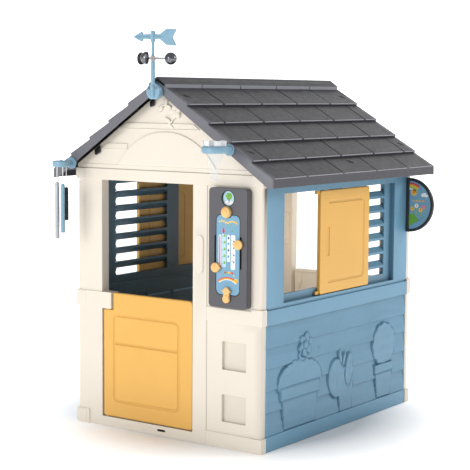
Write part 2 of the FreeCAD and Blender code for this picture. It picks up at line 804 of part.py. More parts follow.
def panel_insert():
    front = size["panel_front"]
    dial = (size["dial_x"], size["dial_height"])
    plate = rounded_box("y", (238, 337), (538, 811), (front + 1, front + 3), 19)
    tools = [
        cylinder("y", dial, 42, (front, front + 4)),
        slot_tool(*RIGHT_SLOT),
        slot_tool(*LEFT_SLOT),
    ]
    finish(cut(plate, *tools), "panel_insert")
    back = rounded_box(
        "y", (size["panel_left"] + 3, size["panel_right"] - 3),
        (size["panel_low"] + 3, size["panel_high"] - 3), (front_out - BACK_PLATE, front_out), 10,
    )
    finish(cut(back, *[screw_shank(at) for at in SCREWS]), "panel_backplate")


def season_dial():
    """The picture wheel behind the round window and the knob that turns it."""
    front = size["panel_front"]
    dial = (size["dial_x"], size["dial_height"])
    wheel = cylinder("y", dial, 2 * size["dial_radius"], (front + 7, front + 9))
    finish(cut(wheel, cylinder("y", dial, 10, (front + 7, front + 9))), "season_wheel")
    grip = cylinder("y", dial, 38, (front - 14, front - 1))
    shaft = cylinder("y", dial, 10, (front - 1, front + 12))
    finish(fuse(grip, shaft), "season_knob")


def pointer_knob():
    x, z = POINTER
    front = size["panel_front"]
    head = [
        (x - 22, z + 22), (x + 22, z + 22), (x + 14, z + 36), (x, z + 44), (x - 14, z + 36)
    ]
    arrow = prism("y", head, (front - 10, front - 1))
    stem = box((x - 12, x + 12), (front - 10, front - 1), (z, z + 24))
    hub = cylinder("y", (x, z), 28, (front - 10, front - 1))
    shaft = cylinder("y", (x, z), 8, (front - 1, front + 10))
    finish(fuse(arrow, stem, hub, shaft), "pointer_knob")


def slider(label, slot, height, side):
    """A teardrop knob on a flat stem that runs in a slot; its foot keeps it in."""
    x = slot[0]
    front = size["panel_front"]
    knob_x = x - side * 6
    knob = cylinder("y", (knob_x, height), 34, (front - 13, front - 1))
    tip = [
        (knob_x, height - 12), (knob_x - side * 22, height), (knob_x, height + 12)
    ]
    point = prism("y", tip if side < 0 else tip[::-1], (front - 11, front - 1))
    stem = box((x - 3, x + 3), (front - 1, front + 6), (height - 8, height + 8))
    foot = box((x - 5, x + 5), (front + 5.3, front + 6.5), (height - 8, height + 8))
    finish(fuse(knob, point, stem, foot), label)


# Sign at the back right corner.
def sign():
    front = 476.5
    back = 490
    low, high = 684, 895
    middle = (low + high) / 2
    radius = (high - low) / 2
    x = value_of(half_width) + 12
    plate = fuse(
        box((half_width, half_width + 12), (front, back), (low, high)),
        cut(
            cylinder("y", (half_width + 12, middle), 2 * radius, (front, back)),
            box((x - radius - 1, x), (front, back), (low - 1, high + 1)),
        ),
    )
    border = 11
    inner = 2 * (radius - border)
    pocket = cut(
        cylinder("y", (half_width + 12, middle), inner, (front, front + 4)),
        box((x - radius - 1, x - 2), (front, front + 4), (low - 1, high + 1)),
    )
    flange = box((half_width, half_width + 4), (back, 512), (low + 8, high - 8))
    bores = [cylinder("x", (502, z), 6, (half_width, half_width + 4)) for z in (720, 860)]
    finish(cut(fuse(plate, flange), pocket, *bores), "sign_frame")
    picture = cut(
        cylinder("y", (half_width + 12, middle), (inner - 1), (front + 2, front + 4)),
        box((x - radius - 1, x - 1.5), (front, front + 5), (low - 1, high + 1)),
    )
    finish(picture, "sign_picture")
    screws = []
    for z in (720, 860):
        head = cylinder("x", (502, z), 11, (half_width + 4, half_width + 6.5))
        shank = cylinder("x", (502, z), 6, (half_width, half_width + 4))
        screws.append(fuse(head, shank))
    finish(group(*screws), "sign_screws")


def wall_screws():
    """Screw heads on the side walls' inner faces, near their ends."""
    heads = []
    far = half_length - size["wall_depth"] - 16
    for y in (-far, far):
        for z in (120, 380, 560, 840):
            heads.append(cylinder("x", (y, z), 12, (side_in - 3, side_in)))
            heads.append(cylinder("x", (y, z), 12, (-side_in, 3 - side_in)))
    finish(group(*heads), "wall_screws")


door_frame("front_door_frame", False)
side_panel("front_side_panel", False)
gable("front_gable", False)
door_frame("back_window_frame", True)
back_lower_panel()
side_panel("back_side_panel", True)
gable("back_gable", True)
for side, turned in (("right", False), ("left", True)):
    lower_side(f"{side}_lower_panel", turned)
    window_frame(f"{side}_window_frame", turned)
    roof_slope(f"roof_{side}_slope", turned)
shutter("right_shutter", -147.5, False)
shutter("left_shutter", -163, True)
ridge_cap()
roof_clips("front_roof_clips", False)
roof_clips("back_roof_clips", True)
door()
vane()
vane_arrow()
wind_rotor()
rain_gauge()
wind_chime()
panel_housing()
panel_insert()
season_dial()
pointer_knob()
slider("right_slider", RIGHT_SLOT, 713, 1)
slider("left_slider", LEFT_SLOT, 630, -1)
sign()
wall_screws()

doc.recompute()
broken = [thing.Name for thing in doc.Objects if {"Invalid", "Error"} & set(thing.State)]
if broken:
    raise RuntimeError(f"objects that failed to compute: {broken}")
for piece in pieces:
    if piece.Shape.isNull() or not piece.Shape.isValid():
        raise RuntimeError(f"{piece.Label} has no valid shape")
os.makedirs("parts", exist_ok=True)
for piece in pieces:
    piece.Shape.exportStep(f"parts/{piece.Label}.step")
bounds = FreeCAD.BoundBox()
for piece in pieces:
    bounds.add(piece.Shape.BoundBox)
    print(piece.Label, round(piece.Shape.Volume / 1000, 1), "cm3", len(piece.Shape.Solids), "solids")
print("box", [round(v, 2) for v in (bounds.XMin, bounds.YMin, bounds.ZMin)])
print("to", [round(v, 2) for v in (bounds.XMax, bounds.YMax, bounds.ZMax)])
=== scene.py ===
from math import asin, cos, hypot, pi, radians, sin, tan

import bmesh
import bpy
import numpy as np
from mathutils import Matrix, Vector


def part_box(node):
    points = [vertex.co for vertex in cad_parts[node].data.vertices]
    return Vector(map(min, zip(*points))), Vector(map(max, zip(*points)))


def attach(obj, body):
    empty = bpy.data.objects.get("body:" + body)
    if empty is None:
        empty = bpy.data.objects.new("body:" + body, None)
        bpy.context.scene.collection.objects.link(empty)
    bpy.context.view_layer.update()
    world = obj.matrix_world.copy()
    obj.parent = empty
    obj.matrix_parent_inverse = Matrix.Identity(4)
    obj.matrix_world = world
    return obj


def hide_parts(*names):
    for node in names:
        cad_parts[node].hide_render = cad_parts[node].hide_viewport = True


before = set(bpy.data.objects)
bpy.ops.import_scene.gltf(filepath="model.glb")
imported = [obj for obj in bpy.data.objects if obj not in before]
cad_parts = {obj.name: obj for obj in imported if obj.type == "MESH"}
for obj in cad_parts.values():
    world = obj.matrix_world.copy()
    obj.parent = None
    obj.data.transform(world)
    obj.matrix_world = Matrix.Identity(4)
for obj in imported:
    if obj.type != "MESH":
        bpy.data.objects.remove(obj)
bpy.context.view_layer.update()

# Everything below is drawn in millimetres about the centre of the house, front wall towards -Y,
# and HOUSE carries it into the shared frame. Back and left pieces are the same mouldings turned
# by half a turn.

WALL_FACE = -514.5
VERGE = -566


def middle(node):
    low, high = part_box(node)
    return (Vector(low) + Vector(high)) / 2


centre = (middle("front_gable") + middle("back_gable")) / 2
HOUSE = Matrix.Translation((centre.x, centre.y, 0)) @ Matrix.Scale(0.001, 4)
HALF_TURN = Matrix.Rotation(pi, 4, "Z")
AXES = {
    "x": Matrix(((0, 0, 1, 0), (1, 0, 0, 0), (0, 1, 0, 0), (0, 0, 0, 1))),
    "y": Matrix(((1, 0, 0, 0), (0, 0, 1, 0), (0, 1, 0, 0), (0, 0, 0, 1))),
    "z": Matrix.Identity(4),
}


# Camera

def add_camera():
    """A long lens that looks a little down on the front right corner."""
    data = bpy.data.cameras.new("camera")
    data.sensor_width = 36
    data.lens = 105.754
    data.clip_end = 100
    yaw, pitch, roll = (radians(a) for a in (35.4241, -5.8411, 0.4149))
    forward = Vector((-sin(yaw) * cos(pitch), cos(yaw) * cos(pitch), sin(pitch)))
    right = Vector((cos(yaw), sin(yaw), 0))
    up = right.cross(forward)
    across = cos(roll) * right + sin(roll) * up
    above = -sin(roll) * right + cos(roll) * up
    holder = bpy.data.objects.new("camera", data)
    columns = Matrix((across, above, -forward)).transposed().to_4x4()
    holder.matrix_world = Matrix.Translation((2.962495, -4.22457, 1.21567)) @ columns
    bpy.context.scene.collection.objects.link(holder)
    bpy.context.scene.camera = holder


add_camera()


# Materials

def linear(code):
    """A colour given as six hexadecimal digits, as linear light."""
    parts = [int(code[i:i + 2], 16) / 255 for i in (0, 2, 4)]
    light = [c / 12.92 if c <= 0.04045 else ((c + 0.055) / 1.055) ** 2.4 for c in parts]
    return (*light, 1)


def scaled(colour, by):
    return (*(min(1, c * by) for c in colour[:3]), 1)


class Shader:
    """Short names for building a node tree."""

    def __init__(self, name):
        self.material = bpy.data.materials.new(name)
        self.material.use_nodes = True
        self.tree = self.material.node_tree
        self.surface = self.tree.nodes["Principled BSDF"]
        self.place = self.node("ShaderNodeTexCoord").outputs["Object"]

    def node(self, kind, **settings):
        made = self.tree.nodes.new(kind)
        for name, value in settings.items():
            setattr(made, name, value)
        return made

    def join(self, source, target):
        self.tree.links.new(source, target)

    def noise(self, scale, detail, stretch=(1, 1, 1), distortion=0):
        mapping = self.node("ShaderNodeMapping")
        mapping.inputs["Scale"].default_value = stretch
        self.join(self.place, mapping.inputs["Vector"])
        made = self.node("ShaderNodeTexNoise")
        made.inputs["Scale"].default_value = scale
        made.inputs["Detail"].default_value = detail
        made.inputs["Distortion"].default_value = distortion
        self.join(mapping.outputs["Vector"], made.inputs["Vector"])
        return made.outputs["Fac"]

    def remap(self, source, low, high, to_low, to_high):
        made = self.node("ShaderNodeMapRange")
        self.join(source, made.inputs["Value"])
        for name, value in (
            ("From Min", low), ("From Max", high), ("To Min", to_low), ("To Max", to_high)
        ):
            made.inputs[name].default_value = value
        return made.outputs["Result"]

    def mix(self, factor, first, second):
        made = self.node("ShaderNodeMix", data_type="RGBA")
        self.join(factor, made.inputs[0])
        for socket, value in ((made.inputs[6], first), (made.inputs[7], second)):
            if isinstance(value, tuple):
                socket.default_value = value
            else:
                self.join(value, socket)
        return made.outputs[2]

    def bump(self, source, distance, strength, below=None):
        made = self.node("ShaderNodeBump")
        made.inputs["Distance"].default_value = distance
        made.inputs["Strength"].default_value = strength
        self.join(source, made.inputs["Height"])
        if below is not None:
            self.join(below, made.inputs["Normal"])
        return made.outputs["Normal"]


def plastic(name, code, rough, mottle, grain=0.0002, edge=0.22, wood=0.0,
            metal=0.0, alpha=1.0, specular=0.5, edge_highlight=1.25, dark=0.62, shade=1.0,
            reach=0.35, lit=0.75, unlit=0.3):
    """Moulded plastic: slow colour drift, fine mould grain, painted highlights on edges, painted
    shade in grooves.

    With shade under 1, painted shade darkens corners and closed places to that share of the colour:
    within the reach, in metres, the open share of the view falls from lit to unlit.
    """
    made = Shader(name)
    base = linear(code)
    drift = made.remap(made.noise(5, 4), 0.3, 0.7, 0, 1)
    colour = made.mix(drift, scaled(base, 1 - mottle), scaled(base, 1 + mottle))
    specks = made.remap(made.noise(420, 2), 0.62, 0.8, 0, 0.35)
    colour = made.mix(specks, colour, scaled(base, 1 - 2.2 * mottle))
    normal = made.bump(made.noise(1500, 2), grain, 0.6)
    normal = made.bump(made.noise(14, 2), 0.0012, 0.25, normal)
    if wood:
        streaks = made.noise(26, 5, (1.2, 0.09, 1.0), 0.8)
        fine = made.noise(90, 3, (1.0, 0.05, 1.0), 0.3)
        streaked = made.remap(streaks, 0.42, 0.62, 0, 0.6)
        colour = made.mix(streaked, colour, scaled(base, 1 - 0.12 * wood))
        normal = made.bump(streaks, 0.003 * wood, 0.5, normal)
        normal = made.bump(fine, 0.0012 * wood, 0.5, normal)
    # Painted highlight on convex edges and painted shade in grooves, both read from the mesh's
    # pointiness
    point = made.node("ShaderNodeNewGeometry").outputs["Pointiness"]
    colour = made.mix(made.remap(point, 0.52, 0.62, 0, edge), colour, scaled(base, edge_highlight))
    colour = made.mix(made.remap(point, 0.48, 0.40, 0, edge), colour, scaled(base, dark))
    # Painted shade from ambient occlusion: corners, creases, the eaves and the inside of the house
    if shade < 1:
        near = made.node("ShaderNodeAmbientOcclusion", samples=6)
        near.inputs["Distance"].default_value = reach
        closed = made.remap(near.outputs["AO"], lit, unlit, 0, 1)
        colour = made.mix(closed, colour, scaled(base, shade))
    made.join(colour, made.surface.inputs["Base Color"])
    dull = made.remap(made.noise(60, 4), 0.3, 0.7, rough - 0.05, rough + 0.07)
    made.join(dull, made.surface.inputs["Roughness"])
    made.join(normal, made.surface.inputs["Normal"])
    for socket, value in (("Specular IOR Level", specular), ("Metallic", metal), ("Alpha", alpha)):
        made.surface.inputs[socket].default_value = value
    return made.material


# Tones for edges, grooves and closed places below are painted highlights and painted shade; the blue
# wall's long reach paints the inside of the house dark
cream = plastic("cream_plastic", "ECE3D5", 0.46, 0.015, edge=0.5, edge_highlight=1.03, dark=0.5, shade=0.85)
wall_blue = plastic("blue_wall_plastic", "6F9DB8", 0.40, 0.04, edge=0.4, dark=0.45, shade=0.24,
                    reach=1.2, lit=0.42, unlit=0.1)
plank_blue = plastic("blue_plank_plastic", "6D9AB5", 0.41, 0.04, edge=0.75, wood=0.8, edge_highlight=1.5,
                     dark=0.35, shade=0.7)
roof_grey = plastic("roof_plastic", "3D3D43", 0.40, 0.05, edge=0.9, specular=0.4, edge_highlight=4.5,
                    dark=0.15)
frame_grey = plastic("roof_frame_plastic", "4A4A50", 0.42, 0.05, edge=0.2, shade=0.2)
# Pale grey of the beads that paint the highlight along each tile's lower edge
tile_highlight = plastic("tile_highlight_plastic", "B4B4BC", 0.30, 0.04, edge=0.1)
board_grey = plastic("roof_board_plastic", "6F6F76", 0.40, 0.05, edge=0.4)
ridge_grey = plastic("ridge_side_plastic", "85868F", 0.34, 0.04, edge=0.5)
yellow = plastic("yellow_plastic", "EDB75A", 0.40, 0.02, edge=0.45, edge_highlight=1.15, dark=0.5, shade=0.75)
peach = plastic("knob_plastic", "F2C27A", 0.33, 0.03)
sky_blue = plastic("sky_blue_plastic", "84ABC1", 0.30, 0.03, edge=0.4, dark=0.4)
panel_grey = plastic("panel_plastic", "57575D", 0.38, 0.05, edge=0.35)
sign_dark = plastic("sign_plastic", "2C2E34", 0.34, 0.05)
# Black of the roof clips; the same material paints shade in the tile joints, under the hook slots and
# in the weather panel's gaps
clip_and_painted_shade = plastic("clip_and_painted_shade_plastic", "17181B", 0.40, 0.05)
chrome = plastic("chromed_plastic", "77777D", 0.2, 0.04, 0.00005, metal=0.85)
silver = plastic("silver_plastic", "B6B7BB", 0.3, 0.04, 0.00003, metal=0.7)
tube_dark = plastic("dark_tube_plastic", "1E2024", 0.28, 0.05)
arm_grey = plastic("rotor_plastic", "B5B3B2", 0.35, 0.04)
steel = plastic("zinc_steel", "8C8F94", 0.30, 0.05, 0.0001, metal=0.9)
clear = plastic("clear_plastic", "EEF3F6", 0.08, 0.01, 0.00003, edge=0.0, alpha=0.13)
frosted = plastic("frosted_plastic", "F4F7F8", 0.3, 0.01, 0.00003, edge=0.0, alpha=0.72)
# Painted shade along the seam between the door wall and the panel wall
seam_shade = plastic("seam_shade_plastic", "B5AA99", 0.5, 0.02, edge=0.0)
thread = plastic("white_cord", "F1F1EC", 0.75, 0.04, 0.0006)
INKS = {
    "board": "79A9C6", "white": "F4F7F8", "pale": "B9DDEE", "red": "D8303A", "green": "6FAE3F",
    "leaf": "9CC74C", "orange": "F0953A", "sun": "F8CF3F", "brown": "8A5A35", "navy": "23435F",
    "teal": "3C93A6", "pink": "E88BA4",
}
ink = {n: plastic("print_" + n, code, 0.30, 0.03, 0.00004, edge=0.0) for n, code in INKS.items()}


# Mesh builders: each returns a mesh in house millimetres

def settled(bm):
    bmesh.ops.remove_doubles(bm, verts=bm.verts, dist=0.002)
    bmesh.ops.recalc_face_normals(bm, faces=bm.faces)
    mesh = bpy.data.meshes.new("part")
    bm.to_mesh(mesh)
    bm.free()
    return mesh


def cleaned(mesh):
    bm = bmesh.new()
    bm.from_mesh(mesh)
    return settled(bm)


def merge(*parts):
    bm = bmesh.new()
    for part in parts:
        bm.from_mesh(part)
    mesh = bpy.data.meshes.new("part")
    bm.to_mesh(mesh)
    bm.free()
    return mesh


def moved(part, matrix):
    copy = part.copy()
    copy.transform(matrix)
    return copy


def new_curve(lines, closed, kind="POLY", dimensions="3D"):
    """A curve of one spline along each line of points."""
    data = bpy.data.curves.new("curve", "CURVE")
    data.dimensions = dimensions
    for points in lines:
        spline = data.splines.new(kind)
        spline.points.add(len(points) - 1)
        for point, place in zip(spline.points, points):
            point.co = (*place, 1)
        spline.use_cyclic_u = closed
    return data


def from_curve(data):
    holder = bpy.data.objects.new("holder", data)
    mesh = bpy.data.meshes.new_from_object(holder)
    bpy.data.objects.remove(holder)
    bpy.data.curves.remove(data)
    return cleaned(mesh)


def slab(x, y, z, bevel, segments=2):
    """A box with rounded edges."""
    bm = bmesh.new()
    bmesh.ops.create_cube(bm, size=1)
    spans = (x, y, z)
    for vert in bm.verts:
        vert.co = [low + (c + 0.5) * (high - low) for c, (low, high) in zip(vert.co, spans)]
    bevel = min(bevel, *(0.45 * (high - low) for low, high in spans))
    bmesh.ops.bevel(
        bm, geom=bm.edges[:], offset=bevel, segments=segments, profile=0.5, affect="EDGES"
    )
    return settled(bm)


def rounded(points, radius, steps=5):
    """An outline with its corners replaced by arcs; radius is one number or one per corner."""
    result = []
    for i, point in enumerate(points):
        size = radius[i] if isinstance(radius, (list, tuple)) else radius
        corner = Vector(point)
        before = Vector(points[i - 1]) - corner
        after = Vector(points[(i + 1) % len(points)]) - corner
        half = before.angle(after) / 2
        if size <= 0 or half > 1.5:
            result.append(corner[:])
            continue
        cut = min(size / tan(half), before.length * 0.49, after.length * 0.49)
        start = corner + before.normalized() * cut
        mid = corner + (before.normalized() + after.normalized()).normalized() * cut / cos(half)
        spoke = start - mid
        turn = (pi - 2 * half) * (1 if before.cross(after) < 0 else -1)
        for k in range(steps + 1):
            angle = turn * k / steps
            result.append((
                mid.x + spoke.x * cos(angle) - spoke.y * sin(angle),
                mid.y + spoke.x * sin(angle) + spoke.y * cos(angle),
            ))
    return result


def circle(u, v, radius, steps=40, squash=1.0):
    angles = [2 * pi * k / steps for k in range(steps)]
    return [(u + radius * cos(a), v + radius * squash * sin(a)) for a in angles]


def oblong(u, v, radius=0.0):
    """A rectangle with rounded corners, from its two spans."""
    corners = [(u[0], v[0]), (u[1], v[0]), (u[1], v[1]), (u[0], v[1])]
    return rounded(corners, radius) if radius else corners


def plate(axis, outlines, low, high, bevel):
    """A flat moulding with rounded rims; outlines after the first are holes."""
    data = new_curve([[(u, v, 0) for u, v in points] for points in outlines], True, dimensions="2D")
    data.fill_mode = "BOTH"
    bevel = min(bevel, 0.49 * (high - low))
    data.extrude = (high - low) / 2 - bevel
    data.bevel_depth = bevel
    data.bevel_resolution = 1
    data.offset = -bevel
    mesh = from_curve(data)
    mesh.transform(AXES[axis] @ Matrix.Translation((0, 0, (low + high) / 2)))
    return cleaned(mesh)


def rod(path, radius, closed=False, sides=3):
    """A round bar along straight runs."""
    data = new_curve([path], closed)
    data.bevel_depth = radius
    data.bevel_resolution = sides
    data.use_fill_caps = True
    return from_curve(data)


def lathe(profile, at=(0, 0, 0), axis="z", steps=40, arc=(0, 360)):
    """A turned shape; profile is (radius, distance along the axis) and closes on itself."""
    whole = abs(arc[1] - arc[0]) >= 360
    count = steps if whole else max(3, int(steps * abs(arc[1] - arc[0]) / 360)) + 1
    bm = bmesh.new()
    rings = []
    for k in range(count):
        share = k / count if whole else k / (count - 1)
        angle = radians(arc[0] + (arc[1] - arc[0]) * share)
        rings.append([
            bm.verts.new((r * cos(angle), r * sin(angle), h)) for r, h in profile
        ])
    turns = range(count) if whole else range(count - 1)
    for k in turns:
        one, two = rings[k], rings[(k + 1) % count]
        for i in range(len(profile)):
            j = (i + 1) % len(profile)
            if profile[i][0] == 0 and profile[j][0] == 0:
                continue
            bm.faces.new((one[i], two[i], two[j], one[j]))
    if not whole:
        bm.faces.new(rings[0])
        bm.faces.new(rings[-1])
    bmesh.ops.remove_doubles(bm, verts=bm.verts, dist=0.002)
    bmesh.ops.dissolve_degenerate(bm, edges=bm.edges, dist=0.002)
    mesh = settled(bm)
    spin = {"z": Matrix(), "y": Matrix.Rotation(-pi / 2, 4, "X"),
            "x": Matrix.Rotation(pi / 2, 4, "Y")}[axis]
    mesh.transform(Matrix.Translation(at) @ spin)
    return mesh


def button(radius, low, high, soft):
    """The profile of a disc with both rims rounded."""
    turns = [pi / 8 * k for k in range(5)]
    core = radius - soft
    lower = [(core + soft * sin(a), low + soft - soft * cos(a)) for a in turns]
    upper = [(core + soft * cos(a), high - soft + soft * sin(a)) for a in turns]
    return [(0, low), *lower, *upper, (0, high)]


def disc(x, z, radius, low, high, soft, steps=40):
    """A disc with rounded rims that faces the front, from one depth to the other."""
    return lathe(button(radius, low, high, soft), (x, 0, z), "y", steps)


def stud(x, y, radius, low, high, soft, steps):
    """An upright pin with rounded rims."""
    return lathe(button(radius, low, high, soft), (x, y, 0), steps=steps)


def carve(part, *tools):
    """The part with the tools' volumes taken away."""
    base = bpy.data.objects.new("base", part)
    knife = bpy.data.objects.new("knife", merge(*tools))
    for thing in (base, knife):
        bpy.context.scene.collection.objects.link(thing)
    step = base.modifiers.new("cut", "BOOLEAN")
    step.operation = "DIFFERENCE"
    step.solver = "EXACT"
    step.use_self = True
    step.object = knife
    graph = bpy.context.evaluated_depsgraph_get()
    graph.update()
    mesh = bpy.data.meshes.new_from_object(base.evaluated_get(graph))
    bpy.data.objects.remove(base)
    bpy.data.objects.remove(knife)
    return mesh


def relief(us, vs, height, back, axis):
    """A closed block whose outer face follows height(u, v) over a grid."""
    u, v = np.meshgrid(np.array(us, float), np.array(vs, float), indexing="ij")
    w = height(u, v)
    count_u, count_v = u.shape
    front = np.stack((u, v, w), -1).reshape(-1, 3)
    index = np.arange(count_u * count_v).reshape(count_u, count_v)
    quads = np.stack(
        (index[:-1, :-1], index[1:, :-1], index[1:, 1:], index[:-1, 1:]), -1
    ).reshape(-1, 4)
    rim = [*index[:-1, 0], *index[-1, :-1], *index[:0:-1, -1], *index[0, :0:-1]]
    foot = [(*front[i][:2], back) for i in rim]
    first = len(front)
    faces = [tuple(q) for q in quads.tolist()]
    for k in range(len(rim)):
        n = (k + 1) % len(rim)
        faces.append((int(rim[n]), int(rim[k]), first + k, first + n))
    faces.append(tuple(first + k for k in range(len(rim)))[::-1])
    mesh = bpy.data.meshes.new("part")
    mesh.from_pydata([tuple(p) for p in front.tolist()] + foot, [], faces)
    mesh.transform(AXES[axis])
    return cleaned(mesh)


def softened(node, width, corner=0.0):
    """A CAD node's own shape in house millimetres, with its edges rounded.

    A corner radius rounds the house's four upright corners further.
    """
    bm = bmesh.new()
    bm.from_mesh(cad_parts[node].data)
    bm.transform(HOUSE.inverted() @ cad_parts[node].matrix_world)
    bmesh.ops.remove_doubles(bm, verts=bm.verts, dist=0.02)
    bmesh.ops.dissolve_limit(bm, angle_limit=radians(1), verts=bm.verts, edges=bm.edges)

    def sharp():
        return [
            e for e in bm.edges
            if len(e.link_faces) == 2 and e.calc_face_angle(0) > radians(28)
        ]

    def at_corner(edge):
        start, end = (vert.co for vert in edge.verts)
        upright = abs(start.x - end.x) < 0.1 and abs(start.y - end.y) < 0.1
        return upright and abs(start.x) > 409 and abs(start.y) > 513

    def bevel(edges, offset, segments):
        bmesh.ops.bevel(bm, geom=edges, offset=offset, segments=segments, profile=0.5,
                        affect="EDGES", clamp_overlap=True)

    if corner:
        bevel([e for e in sharp() if at_corner(e)], corner, 4)
    bevel(sharp(), width, 2)
    return settled(bm)


def piece(name, part, material, body="root", nodes=(), turned=False, angle=32):
    """Puts a finished mesh in the scene, riding on a body and standing for CAD nodes."""
    mesh = part.copy()
    mesh.name = name
    mesh.transform(HOUSE @ HALF_TURN if turned else HOUSE)
    mesh.materials.clear()
    mesh.materials.append(material)
    mesh.shade_smooth()
    mesh.set_sharp_from_angle(angle=radians(angle))
    made = bpy.data.objects.new(name, mesh)
    bpy.context.scene.collection.objects.link(made)
    weigh = made.modifiers.new("normals", "WEIGHTED_NORMAL")
    weigh.keep_sharp = True
    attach(made, body)
    if nodes:
        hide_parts(*nodes)


# Wind chime, cords first: each cord hangs straight from the ring to its tube's cap

CORD = 3
RING_FLOOR = 949.7
CHIME = (-390, -626)
TUBE_RING = 18
TUBES = (
    (-30.6, 716, 891, sky_blue, "sky_blue"), (41.4, 759, 878, tube_dark, "chime_dark"),
    (113.4, 750, 880, tube_dark, "chime_dark"), (257.4, 695, 897, silver, "silver"),
    (185.4, 735, 884, tube_dark, "chime_dark"),
)


def in_frame(x, y, z):
    return HOUSE @ Vector((x, y, z))


def chime_cord(number, x, y, low):
    heights = [RING_FLOOR + (low - RING_FLOOR) * k / 4 for k in range(5)]
    data = new_curve([[in_frame(x, y, z) for z in heights]], False, "NURBS")
    data.name = f"cord_{number}"
    data.splines[0].order_u = 3
    data.splines[0].use_endpoint_u = True
    data.bevel_depth = CORD / 2000
    data.bevel_resolution = 3
    data.use_fill_caps = True
    cord = bpy.data.objects.new(f"hanging_cord_{number}", data)
    bpy.context.scene.collection.objects.link(cord)
    data.materials.append(thread)
    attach(cord, f"chime_{number}")
    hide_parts(f"chime_cord_{number}")


def wind_chime():
    for number, (bearing, low, high, material, slot) in enumerate(TUBES, start=1):
        a = radians(bearing)
        x = CHIME[0] + TUBE_RING * cos(a)
        y = CHIME[1] + TUBE_RING * sin(a)
        outer = [(6.0, low), (7.1, low + 0.4), (7.5, low + 1.2), (7.5, high - 4)]
        cap = [(7.5 * cos(t), high - 4 + 4 * sin(t)) for t in (0.35, 0.7, 1.05, 1.35)]
        inner = [(1.6, high), (0, high), (0, high - 3), (5.5, high - 5), (6, high - 8)]
        piece(
            f"chime_tube_{number}_shell", lathe(outer + cap + inner, (x, y, 0), steps=28), material,
            f"chime_{number}", [f"chime_tube_{number}"],
        )
        chime_cord(number, x, y, high)
    x, y = CHIME
    ring = [
        (0, 950.4), (20, 950.4), (28, 950.9), (30.6, 952.6), (31.5, 955), (31.5, 968), (30.6, 971),
        (28, 972.8), (25, 972.6), (23.5, 970.5), (21, 969.5), (0, 968.8),
    ]
    parts = [
        lathe(ring, (x, y, 0), steps=48),
        slab((x - 8, x + 8), (y + 24, VERGE - 8), (954, 970), 3),
        slab((x - 2, x + 2), (y + 26, VERGE - 9), (968, 972), 1),
        rod([(x, y, 966), (x, y, 976)], 4),
    ]
    piece("chime_holder", merge(*parts), sky_blue, nodes=["chime_ring"])
    clamp = merge(
        disc(x, 963, 21, VERGE - 9, VERGE, 3),
        disc(x, 963, 14, VERGE - 10.5, VERGE - 7, 1.2),
    )
    piece("chime_disc", clamp, sky_blue, nodes=["chime_clamp"])


wind_chime()


# Weather vane and wind wheel

MAST_Y = -588
MAST = (0, MAST_Y, 0)
WHEEL_Z = 1334
CUP = 21.5
CUP_SKIN = 2
CUP_REACH = 62
CLAMP_SCREWS = (-15.5, 15.5)


def vane_mast():
    """The mast and the two-screw clamp that holds it to the ridge's front end."""
    mast = [
        (0, 1226), (7.5, 1226), (7.5, 1318), (7.0, 1323), (5.6, 1324), (5, 1326), (5, 1387),
        (4.4, 1388), (3, 1388), (3, 1417), (2, 1418), (0, 1418),
    ]
    piece("mast", lathe(mast, MAST, steps=32), sky_blue, nodes=["vane_mast"])
    shield = [(u, max(v, 1195)) for u, v in circle(0, 1221, 29, 72)]
    shield = plate("y", [shield], -590, VERGE, 4)
    rib = lathe(
        [(0, 1200), (7, 1200.5), (9.5, 1203), (10.4, 1207), (10.4, 1238), (9, 1242), (7.6, 1243.5),
         (0, 1243.5)], MAST,
    )
    bores = [disc(x, 1234, 5, -592, -588, 0.3, 24) for x in CLAMP_SCREWS]
    seam = rod([(0, -599.4, 1190), (0, -599.4, 1226)], 2.0)
    clamp = [carve(shield, *bores), carve(rib, seam)]
    for x in CLAMP_SCREWS:
        clamp.append(disc(x, 1234, 3.4, -590, -586, 1, 24))
    piece("vane_saddle", merge(*clamp), sky_blue, nodes=["vane_clamp"])


def vane_arrow():
    outline = rounded(
        [(-87, 1408), (-47, 1390), (-44, 1400), (0, 1398), (30, 1399), (60, 1378), (102, 1375),
         (84, 1403), (102, 1431), (60, 1433), (30, 1415), (0, 1417), (-44, 1416), (-47, 1426)],
        [3, 3, 2, 30, 12, 16, 3, 3, 3, 16, 12, 30, 2, 3],
    )
    face = MAST_Y - 3.5
    body = plate("y", [outline], face, face + 7, 1.6)
    grooves = [rod([(-72, y, 1408), (44, y, 1407.5)], 2.4) for y in (face - 1.2, face + 8.2)]
    body = carve(body, *grooves)
    hub = lathe(
        [(3.1, 1389), (7.6, 1389), (8.5, 1390.5), (8.5, 1420), (7.4, 1425), (5, 1427), (0, 1427),
         (0, 1420), (3.1, 1420)], MAST, steps=32,
    )
    piece("arrow", merge(body, hub), sky_blue, "vane", ["vane_arrow"])


